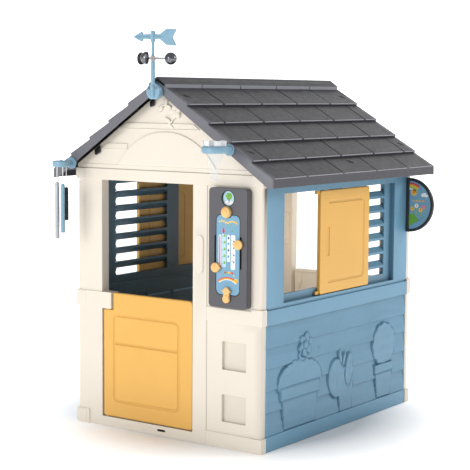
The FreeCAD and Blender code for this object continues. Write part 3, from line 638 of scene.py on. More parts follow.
def wind_wheel():
    """A hub with three arms, each with a half-round cup."""
    hub = lathe(
        [(5.1, 1325), (7.6, 1325), (8.4, 1326.2), (8.4, 1341.8), (7.6, 1343), (5.1, 1343)], MAST
    )
    quarter = [pi / 2 * k / 9 for k in range(10)]
    hollow = CUP - CUP_SKIN
    outside = [(CUP * cos(t), CUP * sin(t)) for t in quarter[:-1]] + [(0, CUP)]
    inside = [(0, hollow)] + [(hollow * cos(t), hollow * sin(t)) for t in quarter[-2::-1]]
    arms = []
    cups = []
    for heading in (50, 170, 290):
        a = radians(heading)
        hub_side = Vector((0, MAST_Y, WHEEL_Z))
        arm = lathe([(0, 7), (4.2, 7), (3.4, 24), (2.6, 41.4), (0, 41.4)], axis="x", steps=20)
        arms.append(moved(arm, Matrix.Translation(hub_side) @ Matrix.Rotation(a, 4, "Z")))
        cup = lathe([*outside, *inside, (20.6, -0.4)], axis="y", steps=36)
        place = hub_side + CUP_REACH * Vector((cos(a), sin(a), 0))
        cups.append(moved(cup, Matrix.Translation(place) @ Matrix.Rotation(a + pi, 4, "Z")))
    piece("wheel_arms", merge(hub, *arms), arm_grey, "wind", ["wind_rotor"])
    piece("wheel_cups", merge(*cups), chrome, "wind", ["wind_cups"])


vane_mast()
vane_arrow()
wind_wheel()


# Rain gauge

GAUGE = (316, -659)


def rain_gauge():
    """A ring on an arm from the front verge, and a clear funnel that stands in it."""
    x, y = GAUGE
    ring = [
        (35.6, 1023), (38, 1022), (40.5, 1022.6), (43, 1025), (44, 1029), (44, 1036), (43, 1041),
        (40.5, 1044), (38, 1045), (36, 1044.4),
    ]
    arm = slab((x - 12, x + 12), (y + 40, -575), (1020, 1042), 6, 3)
    piece("gauge_holder", merge(lathe(ring, (x, y, 0), steps=56), arm), sky_blue,
          nodes=["gauge_ring"])
    clamp = merge(
        disc(x - 5, 1030, 20, VERGE - 10, VERGE, 4, 48),
        disc(x - 5, 1030, 13, VERGE - 11.5, VERGE - 8, 1.4),
    )
    piece("gauge_disc", clamp, sky_blue, nodes=["gauge_clamp"])
    wall = [
        (0, 932), (8.4, 932), (9.5, 933.5), (28.5, 1019), (35.4, 1045), (37.6, 1050), (36.0, 1050),
        (33.4, 1045), (26.6, 1019), (7.6, 936), (0, 936),
    ]
    parts = [lathe(wall, (x, y, 0), steps=48)]
    for k in range(3):
        a = radians(120 * k - 100)
        across, along = cos(a), sin(a)
        parts.append(rod(
            [(x + 9.4 * across, y + 9.4 * along, 938), (x + 28.2 * across, y + 28.2 * along, 1016)],
            0.8, sides=1,
        ))
    piece("funnel", merge(*parts), clear, "funnel", ["gauge_funnel"])
    petal = [(35.2, 1045), (37.4, 1047), (39.6, 1061), (39.2, 1063), (38, 1062.6), (35.2, 1050)]
    petals = [lathe(petal, (x, y, 0), steps=80, arc=(60 * k + 4, 60 * k + 36)) for k in range(6)]
    foot = lathe([(0, 931.8), (8.6, 931.8), (9.8, 933.6), (9.2, 936), (0, 936)], (x, y, 0), steps=32)
    piece("funnel_crown", merge(*petals, foot), frosted, "funnel")


rain_gauge()


# Roof

SLOPE = 34.4
RIDGE = 1273.5
TOP = 40
EAVES = 587
COURSES = (163, 272, 380, 487, EAVES)
TILE_EDGE = -2
STEP = 8
JOINTS = ((-355, -118, 118, 355), (-473, -237, 0, 237, 473))


def course_top(number):
    """How far the head of a course lies below the slope's plane."""
    return TILE_EDGE - STEP - (3 if number == 0 else 0)


def roof_profile():
    """(along, rise, course) down the slope, over every course and its rounded lower edge."""
    rows = []
    start = TOP
    for number, edge in enumerate(COURSES):
        top = course_top(number)
        for share in (0, 0.06, 0.3, 0.55, 0.8):
            s = start + share * (edge - start)
            rows.append((s, top + (TILE_EDGE - top) * share, number))
        for back, drop in ((6, 0), (3.6, 0.4), (1.9, 1.3), (0.7, 2.6), (0.1, 4.2), (0, 6.5)):
            rows.append((edge - back, TILE_EDGE - drop, number))
        start = edge
    return rows


def tile_lines():
    """Where the tiles' grid has its lines, close together at each joint."""
    lines = {-561.0, 561.0}
    for joints in JOINTS:
        for y in joints:
            lines |= {y + side * d for side in (-1, 1) for d in (0.0, 5.1, 5.6, 6.6, 9.0)}
    lines |= {float(y) for y in range(-540, 560, 40)}
    return sorted(lines)


def joint_width(s, number):
    """The joints between tiles open towards the lower edge of their course."""
    start = (TOP, *COURSES)[number]
    return 0.5 + 0.5 * min(max((s - start) / (COURSES[number] - start), 0), 1)


def tile_field():
    """One slope's tiles as a closed sheet, with joints and slightly uneven faces."""
    rows = roof_profile()
    lines = tile_lines()
    verts = []
    faces = []
    for s, rise, number in rows:
        joints = JOINTS[number % 2]
        for y in lines:
            joint = min(joints, key=lambda j: abs(y - j))
            near = abs(y - joint)
            depth = 7.5 if near < 5.3 else (1.6 if near < 6.0 else (0.3 if near < 7.0 else 0.0))
            tile = sum(1 for j in joints if j < y) + 10 * number
            lift = 0.35 * sin(tile * 2.7) + 0.4 * sin(y * 0.021 + s * 0.013 + number)
            if near < 9.5:
                y = joint + (y - joint) * joint_width(s, number)
            verts.append((s, y, rise - depth + min(lift, 0.5) - 0.5))
    count = len(lines)
    for i in range(len(rows) - 1):
        for j in range(count - 1):
            a = i * count + j
            faces.append((a, a + count, a + count + 1, a + 1))
    first = len(verts)
    verts += [(s, y, rise - 10) for s, rise, _ in rows for y in (lines[0], lines[-1])]
    for i in range(len(rows) - 1):
        a = first + 2 * i
        faces.append((a, a + 1, a + 3, a + 2))
        faces.append((i * count, a, a + 2, (i + 1) * count))
        faces.append((i * count + count - 1, (i + 1) * count + count - 1, a + 3, a + 1))
    for i, row in ((0, first), (len(rows) - 1, first + 2 * (len(rows) - 1))):
        line = [i * count + j for j in range(count)]
        faces.append(tuple(line + [row + 1, row]))
    mesh = bpy.data.meshes.new("part")
    mesh.from_pydata(verts, [], faces)
    return cleaned(mesh)


def tile_trim():
    """Pale beads that paint a highlight along each tile's lower edge, and dark plates that paint the
    shade in the gaps between tiles.
    """
    beads = []
    gaps = []
    start = 52
    for number, edge in enumerate(COURSES):
        top = course_top(number)
        joints = JOINTS[number % 2]
        for low, high in zip((-561, *joints), (*joints, 561)):
            path = [(edge - 1.5, y, TILE_EDGE - 1.9) for y in (low + 7.4, high - 7.4)]
            beads.append(rod(path, 1.8, sides=2))
        gap = [(start, top - 1.7), (edge - 6, TILE_EDGE - 2), (edge - 1, TILE_EDGE - 3),
               (edge + 0.6, TILE_EDGE - 7), (edge - 4, TILE_EDGE - 8), (start, top - 4)]
        for y in joints:
            part = plate("y", [gap], y - 5, y + 5, 0.2)
            for vert in part.vertices:
                vert.co.y = y + (vert.co.y - y) * joint_width(vert.co.x, number)
            gaps.append(part)
        start = edge + 2
    return merge(*beads), merge(*gaps)


def hook_slot(s, y, sink=1.5, radius=4.0):
    """A hooked shape lying in a tile: the cutter of its slot, or the dark bed of painted shade under
    it.
    """
    course = sum(1 for edge in COURSES if edge < s)
    start = (TOP, *COURSES)[course]
    face = TILE_EDGE - STEP + STEP * (s - start) / (COURSES[course] - start) - sink
    curve = [(s - 6, y - 4), (s - 9, y + 8), (s - 4, y + 17), (s + 9, y + 21)]
    tail = [(s - 2, y + 2), (s + 4, y + 10)]
    return [
        rod([(a, b, face) for a, b in curve], radius, sides=2),
        rod([(a, b, face) for a, b in tail], 1.1 * radius, sides=2),
    ]


def stepped():
    """The stepped line of the courses in the slope's plane."""
    points = []
    for edge in COURSES[:-1]:
        points += [(edge, TILE_EDGE), (edge, TILE_EDGE - STEP)]
    return points


def on_slope(part):
    tip = Matrix.Rotation(radians(SLOPE), 4, "Y")
    return moved(part, Matrix.Translation((0, 0, RIDGE)) @ tip)


def roof_slope(name, node, turned):
    """Tiles, verge boards, fascia, ceiling and ribs of one slope."""
    tools = []
    beds = []
    for s, y in ((108, -523), (436, -523), (108, 511), (436, 511), (520, 12)):
        tools += hook_slot(s, y)
        # Dark beds of painted shade under the hook slots
        beds += hook_slot(s, y, 5.2, 3.6)
    tiles = carve(tile_field(), *tools)
    piece(name + "_tiles", on_slope(tiles), roof_grey, nodes=[node], turned=turned, angle=40)
    beads, gaps = tile_trim()
    # Pale beads: painted highlight along each tile's lower edge
    piece(name + "_tile_highlights", on_slope(beads), tile_highlight, turned=turned)
    # Dark plates: painted shade in the joints and under the hook slots
    piece(name + "_tile_gap_shade", on_slope(merge(gaps, *beds)), clip_and_painted_shade, turned=turned)
    c, n = cos(radians(SLOPE)), sin(radians(SLOPE))
    toe = (EAVES + 34 * n, TILE_EDGE - 34 * c)
    depth = 48 * c
    top = [(13 * n / c, -13)] + stepped() + [(EAVES, TILE_EDGE)]
    board = rounded(top + [toe, (toe[0] - 14, -depth), (48 * n, -depth)], 1.2, 2)
    inner = [(60, -16), (574, -16), (574, -20), (60, -20)]
    boards = []
    for outside, inside in ((VERGE, -562), (560, 558)):
        boards.append(plate("y", [board], outside, outside + 6, 1.6))
        boards.append(plate("y", [inner], inside, inside + 4, 0.5))
    piece(name + "_boards", on_slope(merge(*boards)), board_grey, turned=turned)
    corner = (EAVES, TILE_EDGE)
    line = [(corner[0] - 8, corner[1] - 2), (corner[0] - 1, corner[1] - 0.2),
            (corner[0] + 0.2, corner[1] - 1.5), toe, (toe[0] - 5, toe[1] + 3),
            (corner[0] - 7, corner[1] - 8)]
    fascia = [plate("y", [rounded(line, 0.8, 2)], -565, 565, 0.8)]
    under = [(40, -19)] + [(s, r - 11) for s, r in stepped()] + [(584, -13), (584, -17)]
    under += [(s, r - 14) for s, r in stepped()][::-1] + [(40, -22)]
    ceiling = [plate("y", [under], -560, 560, 0.5)]
    edge = 51.5 * c
    rib = [(13 * n / c, -18)] + [(s, r - 6) for s, r in stepped()]
    rib += [(560, -14), (530, -edge), (51.5 * n, -edge)]
    ribs = [plate("y", [rib], a - 3, a + 3, 1) for a in (-495, 495)]
    for y in (-330, -165, 0, 165, 330):
        rail = [(60, -20), (575, -14), (560, -24), (66, -32)]
        ribs.append(plate("y", [rail], y - 3, y + 3, 1))
    piece(name + "_frame", on_slope(merge(*fascia, *ceiling, *ribs)), frame_grey, turned=turned)


def ridge_cap():
    """An angled strip along the ridge with rounded lines, notches and a rim of each tile."""
    def on_side(along, rise, side):
        c, n = cos(radians(SLOPE)), sin(radians(SLOPE))
        return (side * (along * c + rise * n), RIDGE - along * n + rise * c)

    half = [(45, 0), (50.5, -13), (43, -13), (43, -5)]
    right = [on_side(a, r, 1) for a, r in half]
    left = [on_side(a, r, -1) for a, r in half]
    outline = [(0, RIDGE), *right, (0, RIDGE - 7), *left[::-1]]
    body = plate("y", [rounded(outline, [6, 3, 1, 0.8, 1, 2, 1, 0.8, 1, 3], 4)], VERGE, -VERGE, 1.2)
    tools = []
    for side in (-1, 1):
        for along, size in ((12, 1.6), (34, 2.0)):
            x, z = on_side(along, size * 0.45, side)
            tools.append(rod([(x, -590, z), (x, 590, z)], size))
        for y in JOINTS[0]:
            x, z = on_side(48, -8, side)
            tools.append(slab((x - 4, x + 6), (y - 1.4, y + 1.4), (z - 8, z + 3), 0.5))
    piece("ridge_strip", carve(body, *tools), frame_grey, nodes=["ridge_cap"])
    sides = []
    for side in (-1, 1):
        strip = ((44.8, -1.2), (46.2, -1.0), (51.2, -12.8), (49.6, -12.8))
        face = [on_side(a, r, side) for a, r in strip]
        lows = (-565, *(y + 2 for y in JOINTS[0]))
        highs = (*(y - 2 for y in JOINTS[0]), 565)
        for low, high in zip(lows, highs):
            sides.append(plate("y", [face], low, high, 0.4))
    piece("ridge_sides", merge(*sides), ridge_grey)


roof_slope("right_roof", "roof_right_slope", False)
roof_slope("left_roof", "roof_left_slope", True)
ridge_cap()


# Gables

def under_roof(x, drop=51.5):
    """Height of the gable's sloping edge."""
    return RIDGE - abs(x) * tan(radians(SLOPE)) - drop


def petal_ring(u, v, radius, size, count, start):
    return [
        (u + radius * cos(start + 2 * pi * k / count),
         v + radius * sin(start + 2 * pi * k / count), size)
        for k in range(count)
    ]


def gable_flower(front):
    """A raised flower with a curling stem and leaves, for the top board."""
    parts = []
    for u, v, size in petal_ring(44, 1152, 14.5, 11.5, 5, 0.5):
        parts.append(disc(u, v, size, front - 9.5, front + 2, 5.5, 24))
    parts.append(disc(44, 1152, 7.5, front - 10.5, front, 3.4, 24))
    for radius, stem in (
        (3.4, ((40, 1142), (36, 1130), (28, 1118), (18, 1110), (6, 1108))),
        (3.2, ((32, 1160), (18, 1172), (2, 1176), (-16, 1172), (-28, 1164))),
    ):
        parts.append(rod([(u, front - 4.5, v) for u, v in stem], radius))
    for u, v, length, lean in ((12, 1122, 17, 2.4), (24, 1102, 15, -0.5), (4, 1186, 15, 1.3),
                               (-20, 1160, 13, -2.2)):
        leaf = []
        for k in range(20):
            t = 2 * pi * k / 20
            a, b = length * cos(t), 0.42 * length * sin(t) * (1 - 0.35 * cos(t))
            leaf.append((u + a * cos(lean) - b * sin(lean),
                         v + a * sin(lean) + b * cos(lean)))
        parts.append(plate("y", [leaf], front - 7.5, front + 2, 2.6))
    return parts


def roof_clips(name, node, turned):
    front = WALL_FACE
    clips = []
    for left, right in ((-322, -296), (-66, -46), (46, 66), (296, 322)):
        outline = [(left, under_roof(left, 40)), (right, under_roof(right, 40)),
                   (right, under_roof(right) - 17), (left, under_roof(left) - 12)]
        clips.append(plate("y", [rounded(outline, 5)], front - 9, front - 4.5, 1.6))
    piece(name + "_clips", merge(*clips), clip_and_painted_shade, nodes=[node], turned=turned)


def gable(name, nodes, clip_node, turned):
    """Boards, beam, arch and flower over one end, with the clips that hold the roof."""
    front = WALL_FACE

    def triangle(drop, low, high, bevel):
        points = [(-410, 905), (410, 905)] + [(x, under_roof(x, drop)) for x in (410, 0, -410)]
        return plate("y", [rounded(points, [6, 6, 2, 2, 2])], low, high, bevel)

    parts = [
        triangle(51.5, front, front + 38, 2),
        triangle(34, front - 0.1, front + 6, 1.5),
    ]
    beam = [(-414, 904), (414, 904), (414, 945), (-414, 945)]
    parts.append(plate("y", [rounded(beam, 2)], front - 4, front + 20, 1.8))
    ledge = [(-395, 945), (395, 945), (384, 961), (-384, 961)]
    parts.append(plate("y", [rounded(ledge, 1)], front - 2, front + 4, 1.5))
    arch = [(254 * cos(a), 829 + 254 * sin(a))
            for a in [radians(31.3 + 117.4 * k / 48) for k in range(49)]]
    parts.append(plate("y", [arch], front - 5, front + 4, 3.2))
    lean = 29.2
    for left, right, height, thick in (
        (-205, 150, 1091, 4.2), (-296, -172, 1017, 3.4), (208, 296, 1017, 3.4)
    ):
        board = [(left, height), (right, height), (right - lean * (right > 0), height + 20),
                 (left + lean, height + 20)]
        parts.append(plate("y", [rounded(board, 1)], front - thick, front + 4, 1.5))
    parts += gable_flower(front)
    piece(name, merge(*parts), cream, nodes=nodes, turned=turned, angle=40)
    ends = []
    for side in (-1, 1):
        u = sorted((side * 372, side * 415))
        ends.append(slab(u, (front - 5.2, front), (906, 944), 1.6))
    piece(name + "_beam_ends", merge(*ends), cream, turned=turned)
    roof_clips(name, clip_node, turned)


gable("front_gable_wall", ["front_gable"], "front_roof_clips", False)
gable("back_gable_wall", ["back_gable"], "back_roof_clips", True)


# Front and back walls

def wall_blocks(turned, name):
    """Raised blocks at the corners, and the bar, buttons and a strip of painted shade along the seam
    beside the doorway.
    """
    front = WALL_FACE
    parts = []
    for x, side in (((-415.4, -368), (-415.4, -410.4)), ((370, 415.4), (410.4, 415.4))):
        for span in ((438, 494), (2, 52)):
            parts.append(slab(x, (front - 5.4, front), span, 2))
            parts.append(slab(side, (front - 4, front + 24.5), span, 2))
    inside = -476.6
    bar = [oblong((131, 164), (600, 730), 14), *(circle(147.5, v, 5, 20) for v in (618, 712))]
    parts.append(plate("y", bar, inside - 2, inside + 4.6, 1.6))
    ring = [oblong((124, 171), (594, 736), 16), oblong((127, 168), (597, 733), 14)]
    parts.append(plate("y", ring, inside - 1, inside + 1.8, 0.6))
    for u, v in ((-394, 470), (-394, 560), (-394, 700), (-394, 850), (176, 470), (176, 560)):
        parts.append(disc(u, v, 5, inside - 1, inside + 1.6, 1, 20))
    piece(name, merge(*parts), cream, turned=turned)
    # A darker strip of painted shade along the seam between the door wall and the panel wall
    piece(name + "_seam", slab((178.6, 181.4), (front - 0.5, front + 2), (3, 903), 0.4), seam_shade,
          turned=turned)


def front_walls():
    for name, node in (
        ("door_wall", "front_door_frame"), ("panel_wall", "front_side_panel"),
        ("back_door_wall", "back_window_frame"), ("back_panel_wall", "back_side_panel"),
    ):
        piece(name, softened(node, 1.8, 9), cream, nodes=[node])
    wall_blocks(False, "front_corner_blocks")
    wall_blocks(True, "back_corner_blocks")


front_walls()


# Half door, and the fixed leaf of the same shape in the back wall

LEAF = ((-290, 39), (116, 39), (116, 496), (-245.5, 496), (-245.5, 433), (-290, 433))


def leaf():
    front, back = -512, -496
    body = plate("y", [rounded(LEAF, [10, 10, 16, 5, 3, 5], 6)], front, back, 4)
    groove = oblong((-240, 55), (98, 414), 18)
    tools = []
    for y in (front - 3.2, back + 3.2):
        tools.append(rod([(u, y, v) for u, v in groove], 6.8, True))
        tools.append(rod([(-236, y, 311), (51, y, 311)], 6.8))
    return carve(body, *tools)


def doors():
    pins = [stud(-275, -504, 5, low, high, 1, 24) for low, high in ((29, 44), (428, 443))]
    piece("half_door", merge(leaf(), *pins), yellow, "door", ["door"], angle=40)
    curl = rounded([(104, 492), (84, 478), (81, 448), (95, 420), (88, 396), (60, 384)], 14, 5)
    ribs = [rod([(u, -495, v) for u, v in curl], 4), rod([(-230, -494, 487), (96, -494, 487)], 5)]
    piece("back_leaf", merge(leaf(), *ribs), cream, nodes=["back_lower_panel"], turned=True,
          angle=40)


doors()


# Side walls

LINES = (54, 135, 210, 286, 357, 436)


def blob(u, v, cu, cv, ru, rv=None, lean=0.0):
    """Roughly signed distance to an ellipse."""
    rv = rv or ru
    a, b = u - cu, v - cv
    x = a * cos(lean) + b * sin(lean)
    y = -a * sin(lean) + b * cos(lean)
    k = np.sqrt((x / ru) ** 2 + (y / rv) ** 2)
    return (k - 1) * min(ru, rv)


def block(u, v, left, right, low, high, flare=0.0):
    """Signed distance to a box whose sides lean outwards by flare per unit of height."""
    half = (right - left) / 2 + flare * (v - low)
    return np.maximum(np.abs(u - (left + right) / 2) - half, np.maximum(low - v, v - high))


def stroke(u, v, points, width):
    """Signed distance to a line of straight runs with a width."""
    best = np.full_like(u, 1e9)
    for (a, b), (c, d) in zip(points, points[1:]):
        t = np.clip(((u - a) * (c - a) + (v - b) * (d - b)) / ((c - a) ** 2 + (d - b) ** 2), 0, 1)
        best = np.minimum(best, np.hypot(u - a - t * (c - a), v - b - t * (d - b)))
    return best - width


def soft(distance, edge):
    t = np.clip(0.5 - distance / edge, 0, 1)
    return t * t * (3 - 2 * t)


def garden(u, v, face):
    """Raises the garden pictures out of the planks."""
    def lift(face, distance, level):
        ditch = soft(np.abs(distance - 2.6) - 2.2, 2.2)
        face = face - 3.0 * ditch * (distance > 0)
        return face + soft(distance, 2.6) * (level - face)

    def line(face, distance, depth=1.6):
        return face - depth * soft(distance, 2.0)

    def cloud(cu, cv, reach_u, reach_v, radius, turns):
        """Blobs set round an ellipse."""
        return np.minimum.reduce([
            blob(u, v, cu + reach_u * cos(a), cv + reach_v * sin(a), radius) for a in turns
        ])

    def scallops(face, radius, places):
        for cu, cv in places:
            arc = np.abs(blob(u, v, cu, cv, radius)) - 0.8
            face = line(face, np.maximum(arc, cv - v), 1.2)
        return face

    bush = cloud(-275, 218, -108, 46, 31, [pi * k / 10 for k in range(11)])
    bush = np.minimum(bush, blob(u, v, -275, 226, 112, 42))
    face = lift(face, np.maximum(bush, 196 - v), 412.0)
    face = lift(face, block(u, v, -374, -176, 58, 168, 0.12), 412.0)
    face = lift(face, block(u, v, -398, -150, 163, 204), 413.0)
    face = scallops(face, 15, ((-345, 240), (-300, 262), (-250, 240), (-205, 258)))

    tree = cloud(319, 263, 58, 54, 29, [2 * pi * k / 12 for k in range(12)])
    face = lift(face, np.minimum(tree, blob(u, v, 319, 263, 66, 60)), 412.2)
    face = lift(face, block(u, v, 270, 368, 58, 158, 0.14), 411.8)
    face = lift(face, block(u, v, 252, 386, 154, 186), 413.0)
    face = scallops(face, 14, ((300, 300), (345, 285), (292, 245), (338, 235)))

    body = np.minimum(blob(u, v, -26, 184, 58, 72, 0.1), blob(u, v, 42, 164, 46, 56, -0.1))
    body = np.minimum(body, block(u, v, -4, 76, 56, 140, 0.12))
    face = lift(face, body, 412.0)
    for cu, cv, lean in ((-2, 258, 0.35), (24, 250, -0.3)):
        face = lift(face, blob(u, v, cu, cv, 9, 24, lean), 412.6)
    face = lift(face, blob(u, v, 58, 208, 25, 60, -0.14), 413.2)
    face = line(face, stroke(u, v, ((54, 160), (60, 205), (66, 250)), 1.2))
    face = line(face, stroke(u, v, ((-28, 128), (-30, 180), (-34, 236)), 0.9), 1.2)

    for k in range(6):
        a = 2 * pi * k / 6 + 0.3
        face = lift(face, blob(u, v, -240 + 24 * cos(a), 340 + 24 * sin(a), 19, 14, a), 412.2)
    face = lift(face, blob(u, v, -240, 340, 13), 413.2)
    face = lift(face, stroke(u, v, ((-268, 322), (-282, 306), (-270, 296), (-250, 292)), 4), 411.6)
    return face


def plank_face(u, v):
    """Depth of the side wall's outer face: lapped planks, their nicks and the garden."""
    face = np.full_like(u, 404.0)
    for number, (low, high) in enumerate(zip(LINES, LINES[1:])):
        inside = (v >= low) & (v < high)
        share = (v - low) / (high - low)
        wave = 0.35 * np.sin(u * 0.012 + number * 1.7) + 0.2 * np.sin(u * 0.043 + number)
        face = np.where(inside, 411 - 7.6 * share + wave * (1 - share), face)
        nick = np.clip((v - low) / 2.2, 0, 1)
        face = np.where(inside, face - 2.2 * (1 - nick) ** 2, face)
    garden_face = garden(u, v, face)
    face = np.where((v > LINES[0]) & (v < LINES[-1]), garden_face, face)
    for cu, cv in ((-262, 432), (-248, 431), (-62, 432), (-46, 432), (-262, 353), (-246, 353),
                   (-58, 354), (-44, 353), (-150, 318), (236, 432), (250, 432)):
        face = face - 3.5 * soft(np.hypot((u - cu) / 1.3, v - cv) - 2.6, 1.6)
    return np.maximum(face, 402.7)


def plank_rows():
    rows = set(float(v) for v in np.arange(57, 436, 2.9))
    rows = {v for v in rows if min(abs(v - low) for low in LINES) > 2.0}
    for low in LINES[:-1]:
        rows |= {low + d for d in (0.0, 0.5, 1.2, 2.2)}
        rows.add(low - 0.12)
    rows |= {436.0, 54.0}
    return sorted(rows)


def side_wall(side, turned):
    end = 476.5
    lap = 489.4
    rows = plank_rows()
    planks = [relief(list(np.arange(-end, end, 3.0)) + [end], rows, plank_face, 374, "x")]
    for edge in (-1, 1):
        columns = sorted(edge * c for c in (end, end + 4, end + 9, lap - 1.2, lap))
        planks.append(relief(columns, rows, plank_face, 402.3, "x"))
    piece(f"{side}_planks", merge(*planks), plank_blue, nodes=[f"{side}_lower_panel"],
          turned=turned, angle=50)
    parts = [
        slab((372, 409), (-end, end), (0, 54), 2.2),
        slab((402.3, 412.5), (-lap, lap), (0, 54), 2.4),
        slab((372, 409), (-end, end), (436, 489), 2.6),
        slab((402.3, 414.5), (-lap, lap), (436, 489), 2.8),
        slab((372, 408), (-end, end), (487, 495), 1.2),
        slab((371.6, 376), (-end + 6, end - 6), (60, 430), 1.5),
    ]
    for y in (-318, -160, 0, 160, 318):
        parts.append(slab((369.6, 376), (y - 5, y + 5), (40, 450), 1.4))
    parts.append(slab((369.4, 376), (-end + 4, end - 4), (450, 489), 1.6))
    piece(f"{side}_bands", merge(*parts), wall_blue, turned=turned)


def louvre_corners():
    """Fillets that round the four corners of each slot between the slats."""
    radius = 9
    parts = []
    for k in range(7):
        low = 530 + 53.4 * k
        for y, along in ((25.5, 1), (338.5, -1)):
            for z, up in ((low - 0.5, 1), (low + 26, -1)):
                outline = [(y, z)] + [
                    (y + along * radius * (1 - sin(t)), z + up * radius * (1 - cos(t)))
                    for t in [pi / 2 * i / 5 for i in range(6)]
                ]
                if along != up:
                    outline = outline[::-1]
                parts.append(plate("x", [outline], 378, 391, 0.3))
    return merge(*parts)


for side, turned in (("right", False), ("left", True)):
    side_wall(side, turned)
    piece(f"{side}_louvre_corners", louvre_corners(), wall_blue, turned=turned)
    piece(f"{side}_window_wall", softened(f"{side}_window_frame", 1.5), wall_blue,
          nodes=[f"{side}_window_frame"])


# Shutters

def shutter(name, node, body, start, turned):
    end = start + 345
    low, high = 505, 877
    panel = plate("x", [oblong((start, end), (low, high), 9)], 393, 408, 3)
    tools = []
    run = [(start + 56, 547), (end - 42, 547), (end - 42, 834), (start + 56, 834)]
    path = rounded(run, [0, 14, 14, 0])
    tools.append(rod([(414, u, v) for u, v in path], 9.2))
    grip = oblong((start + 40, start + 62), (640, 745), 7)
    tools.append(plate("x", [grip], 406, 412, 0.6))
    inside = oblong((start + 60, end - 60), (560, 822), 16)
    tools.append(rod([(389.8, u, v) for u, v in inside], 5.2, True))
    parts = [carve(panel, *tools)]
    for u in (start + 20, end - 20):
        parts.append(stud(401, u, 3, 499.5, 511, 0.8, 16))
        parts.append(stud(401, u, 3, 871, 882.5, 0.8, 16))
    for z in (low, high - 13):
        parts.append(slab((393, 403), (start - 20, start + 5), (z, z + 13), 2.5))
    piece(name, merge(*parts), yellow, body, [node], turned=turned, angle=40)


shutter("right_sliding_shutter", "right_shutter", "right_shutter_body", -147.5, False)
shutter("left_sliding_shutter", "left_shutter", "left_shutter_body", -163, True)


# Weather panel

FRONT = -543
DIAL = (285, 820)
WINDOW = (287, 866)
POINTER = (287, 526)
RIGHT_SLOT = 341
LEFT_SLOT = 235


def slot_outline(x, low, high):
    return oblong((x - 3.3, x + 3.3), (low, high), 3)


def stamp(outline, at):
    """A thin printed shape on a face at depth `at`, towards the front."""
    return plate("y", [outline], at - 0.3, at + 0.1, 0.05)


def picture(name, shapes, body="root"):
    """Printed shapes, joined by ink; each is (ink, outline, depth)."""
    by_ink = {}
    for colour, outline, at in shapes:
        by_ink.setdefault(colour, []).append(stamp(outline, at))
    for colour, parts in by_ink.items():
        piece(f"{name}_{colour}", merge(*parts), ink[colour], body)


def tree_picture(cu, cv, turn, crown, ground, at):
    """One season on the dial: ground, trunk and a scalloped crown, turned about the axis."""
    spin = Matrix.Rotation(turn, 2)

    def spun(points):
        middle = Vector(DIAL)
        return [tuple(spin @ (Vector(p) - middle) + middle) for p in points]

    shapes = [(ground, spun(circle(cu, cv - 17, 20, 24, 0.34)), at - 0.25)]
    shapes.append(("brown", spun([(cu - 2, cv - 16), (cu + 2, cv - 16), (cu + 1.4, cv + 2),
                                  (cu - 1.4, cv + 2)]), at - 0.5))
    for k in range(6):
        a = 2 * pi * k / 6
        spot = circle(cu + 7.5 * cos(a), cv + 5 + 6.5 * sin(a), 5.8, 16)
        shapes.append((crown, spun(spot), at - 0.6 - 0.05 * k))
    for du, dv in ((-6, 8), (5, 10), (0, 2), (8, 1), (-9, 1)):
        shapes.append(("leaf" if crown != "leaf" else "green",
                       spun(circle(cu + du, cv + dv, 2.0, 10)), at - 1.0))
    return shapes


def rainbow(colours, centre, radius, pitch, width, start, sweep, steps, at):
    """Printed bands about a centre, each inside the one before."""
    u, v = centre
    arc = [radians(start + sweep * k / steps) for k in range(steps + 1)]
    bands = []
    for k, colour in enumerate(colours):
        outer = radius - pitch * k
        points = [(u + outer * cos(a), v + outer * sin(a)) for a in arc]
        points += [(u + (outer - width) * cos(a), v + (outer - width) * sin(a)) for a in arc[::-1]]
        bands.append((colour, points, at - 0.1 * k))
    return bands


def sun_rays(u, v, outer, inner, count):
    """A ring of points that lie by turns on the inner and the outer radius."""
    rays = []
    for k in range(count):
        r = outer if k % 2 else inner
        a = 2 * pi * k / count
        rays.append((u + r * cos(a), v + r * sin(a)))
    return rays


def panel_case():
    """The grey case with its windows and slots, and the dark rims of painted shade in the gaps round
    them.
    """
    case = oblong((208, 366), (494, 901), 13)
    insert = rounded(
        [(237, 537), (338, 537), (338, 630), (344.3, 630), (344.3, 739), (338, 739), (338, 812),
         (237, 812), (237, 740), (231.7, 740), (231.7, 614), (237, 614)],
        [20, 20, 1, 3, 3, 1, 20, 20, 1, 3, 3, 1],
    )
    window = circle(*WINDOW, 27)
    slots = [slot_outline(RIGHT_SLOT, 630, 739), slot_outline(LEFT_SLOT, 614, 740)]
    hub = circle(*DIAL, 5.2, 20)
    stem = circle(*POINTER, 4.2, 20)
    parts = [
        plate("y", [case, insert, window], FRONT, FRONT + 3.2, 1.2),
        plate("y", [case, window, *slots, hub, stem], FRONT + 3, FRONT + 5.2, 0.3),
        plate("y", [case, oblong((211.5, 362.5), (497.5, 897.5), 10)], FRONT + 1.6, WALL_FACE, 1.0),
    ]
    piece("panel_case", merge(*parts), panel_grey, nodes=["panel_housing"])
    # Dark rims: painted shade in the gaps round the window, round the insert and behind the slots
    rims = [
        lathe([(25.4, FRONT - 0.3), (27.4, FRONT - 0.3), (27.4, FRONT + 6), (25.8, FRONT + 6)],
              (WINDOW[0], 0, WINDOW[1]), "y", 48),
        plate("y", [oblong((236.8, 338.2), (536.8, 812.2), 20.5),
                    oblong((239.6, 335.4), (539.6, 809.4), 18.5)], FRONT + 0.7, FRONT + 3.1, 0.3),
    ]
    for slot_x, low, high in ((RIGHT_SLOT, 626, 743), (LEFT_SLOT, 610, 744)):
        rims.append(slab((slot_x - 6, slot_x + 6), (FRONT + 6.8, FRONT + 7.6), (low, high), 0.3))
    piece("panel_gap_shade", merge(*rims), clip_and_painted_shade)


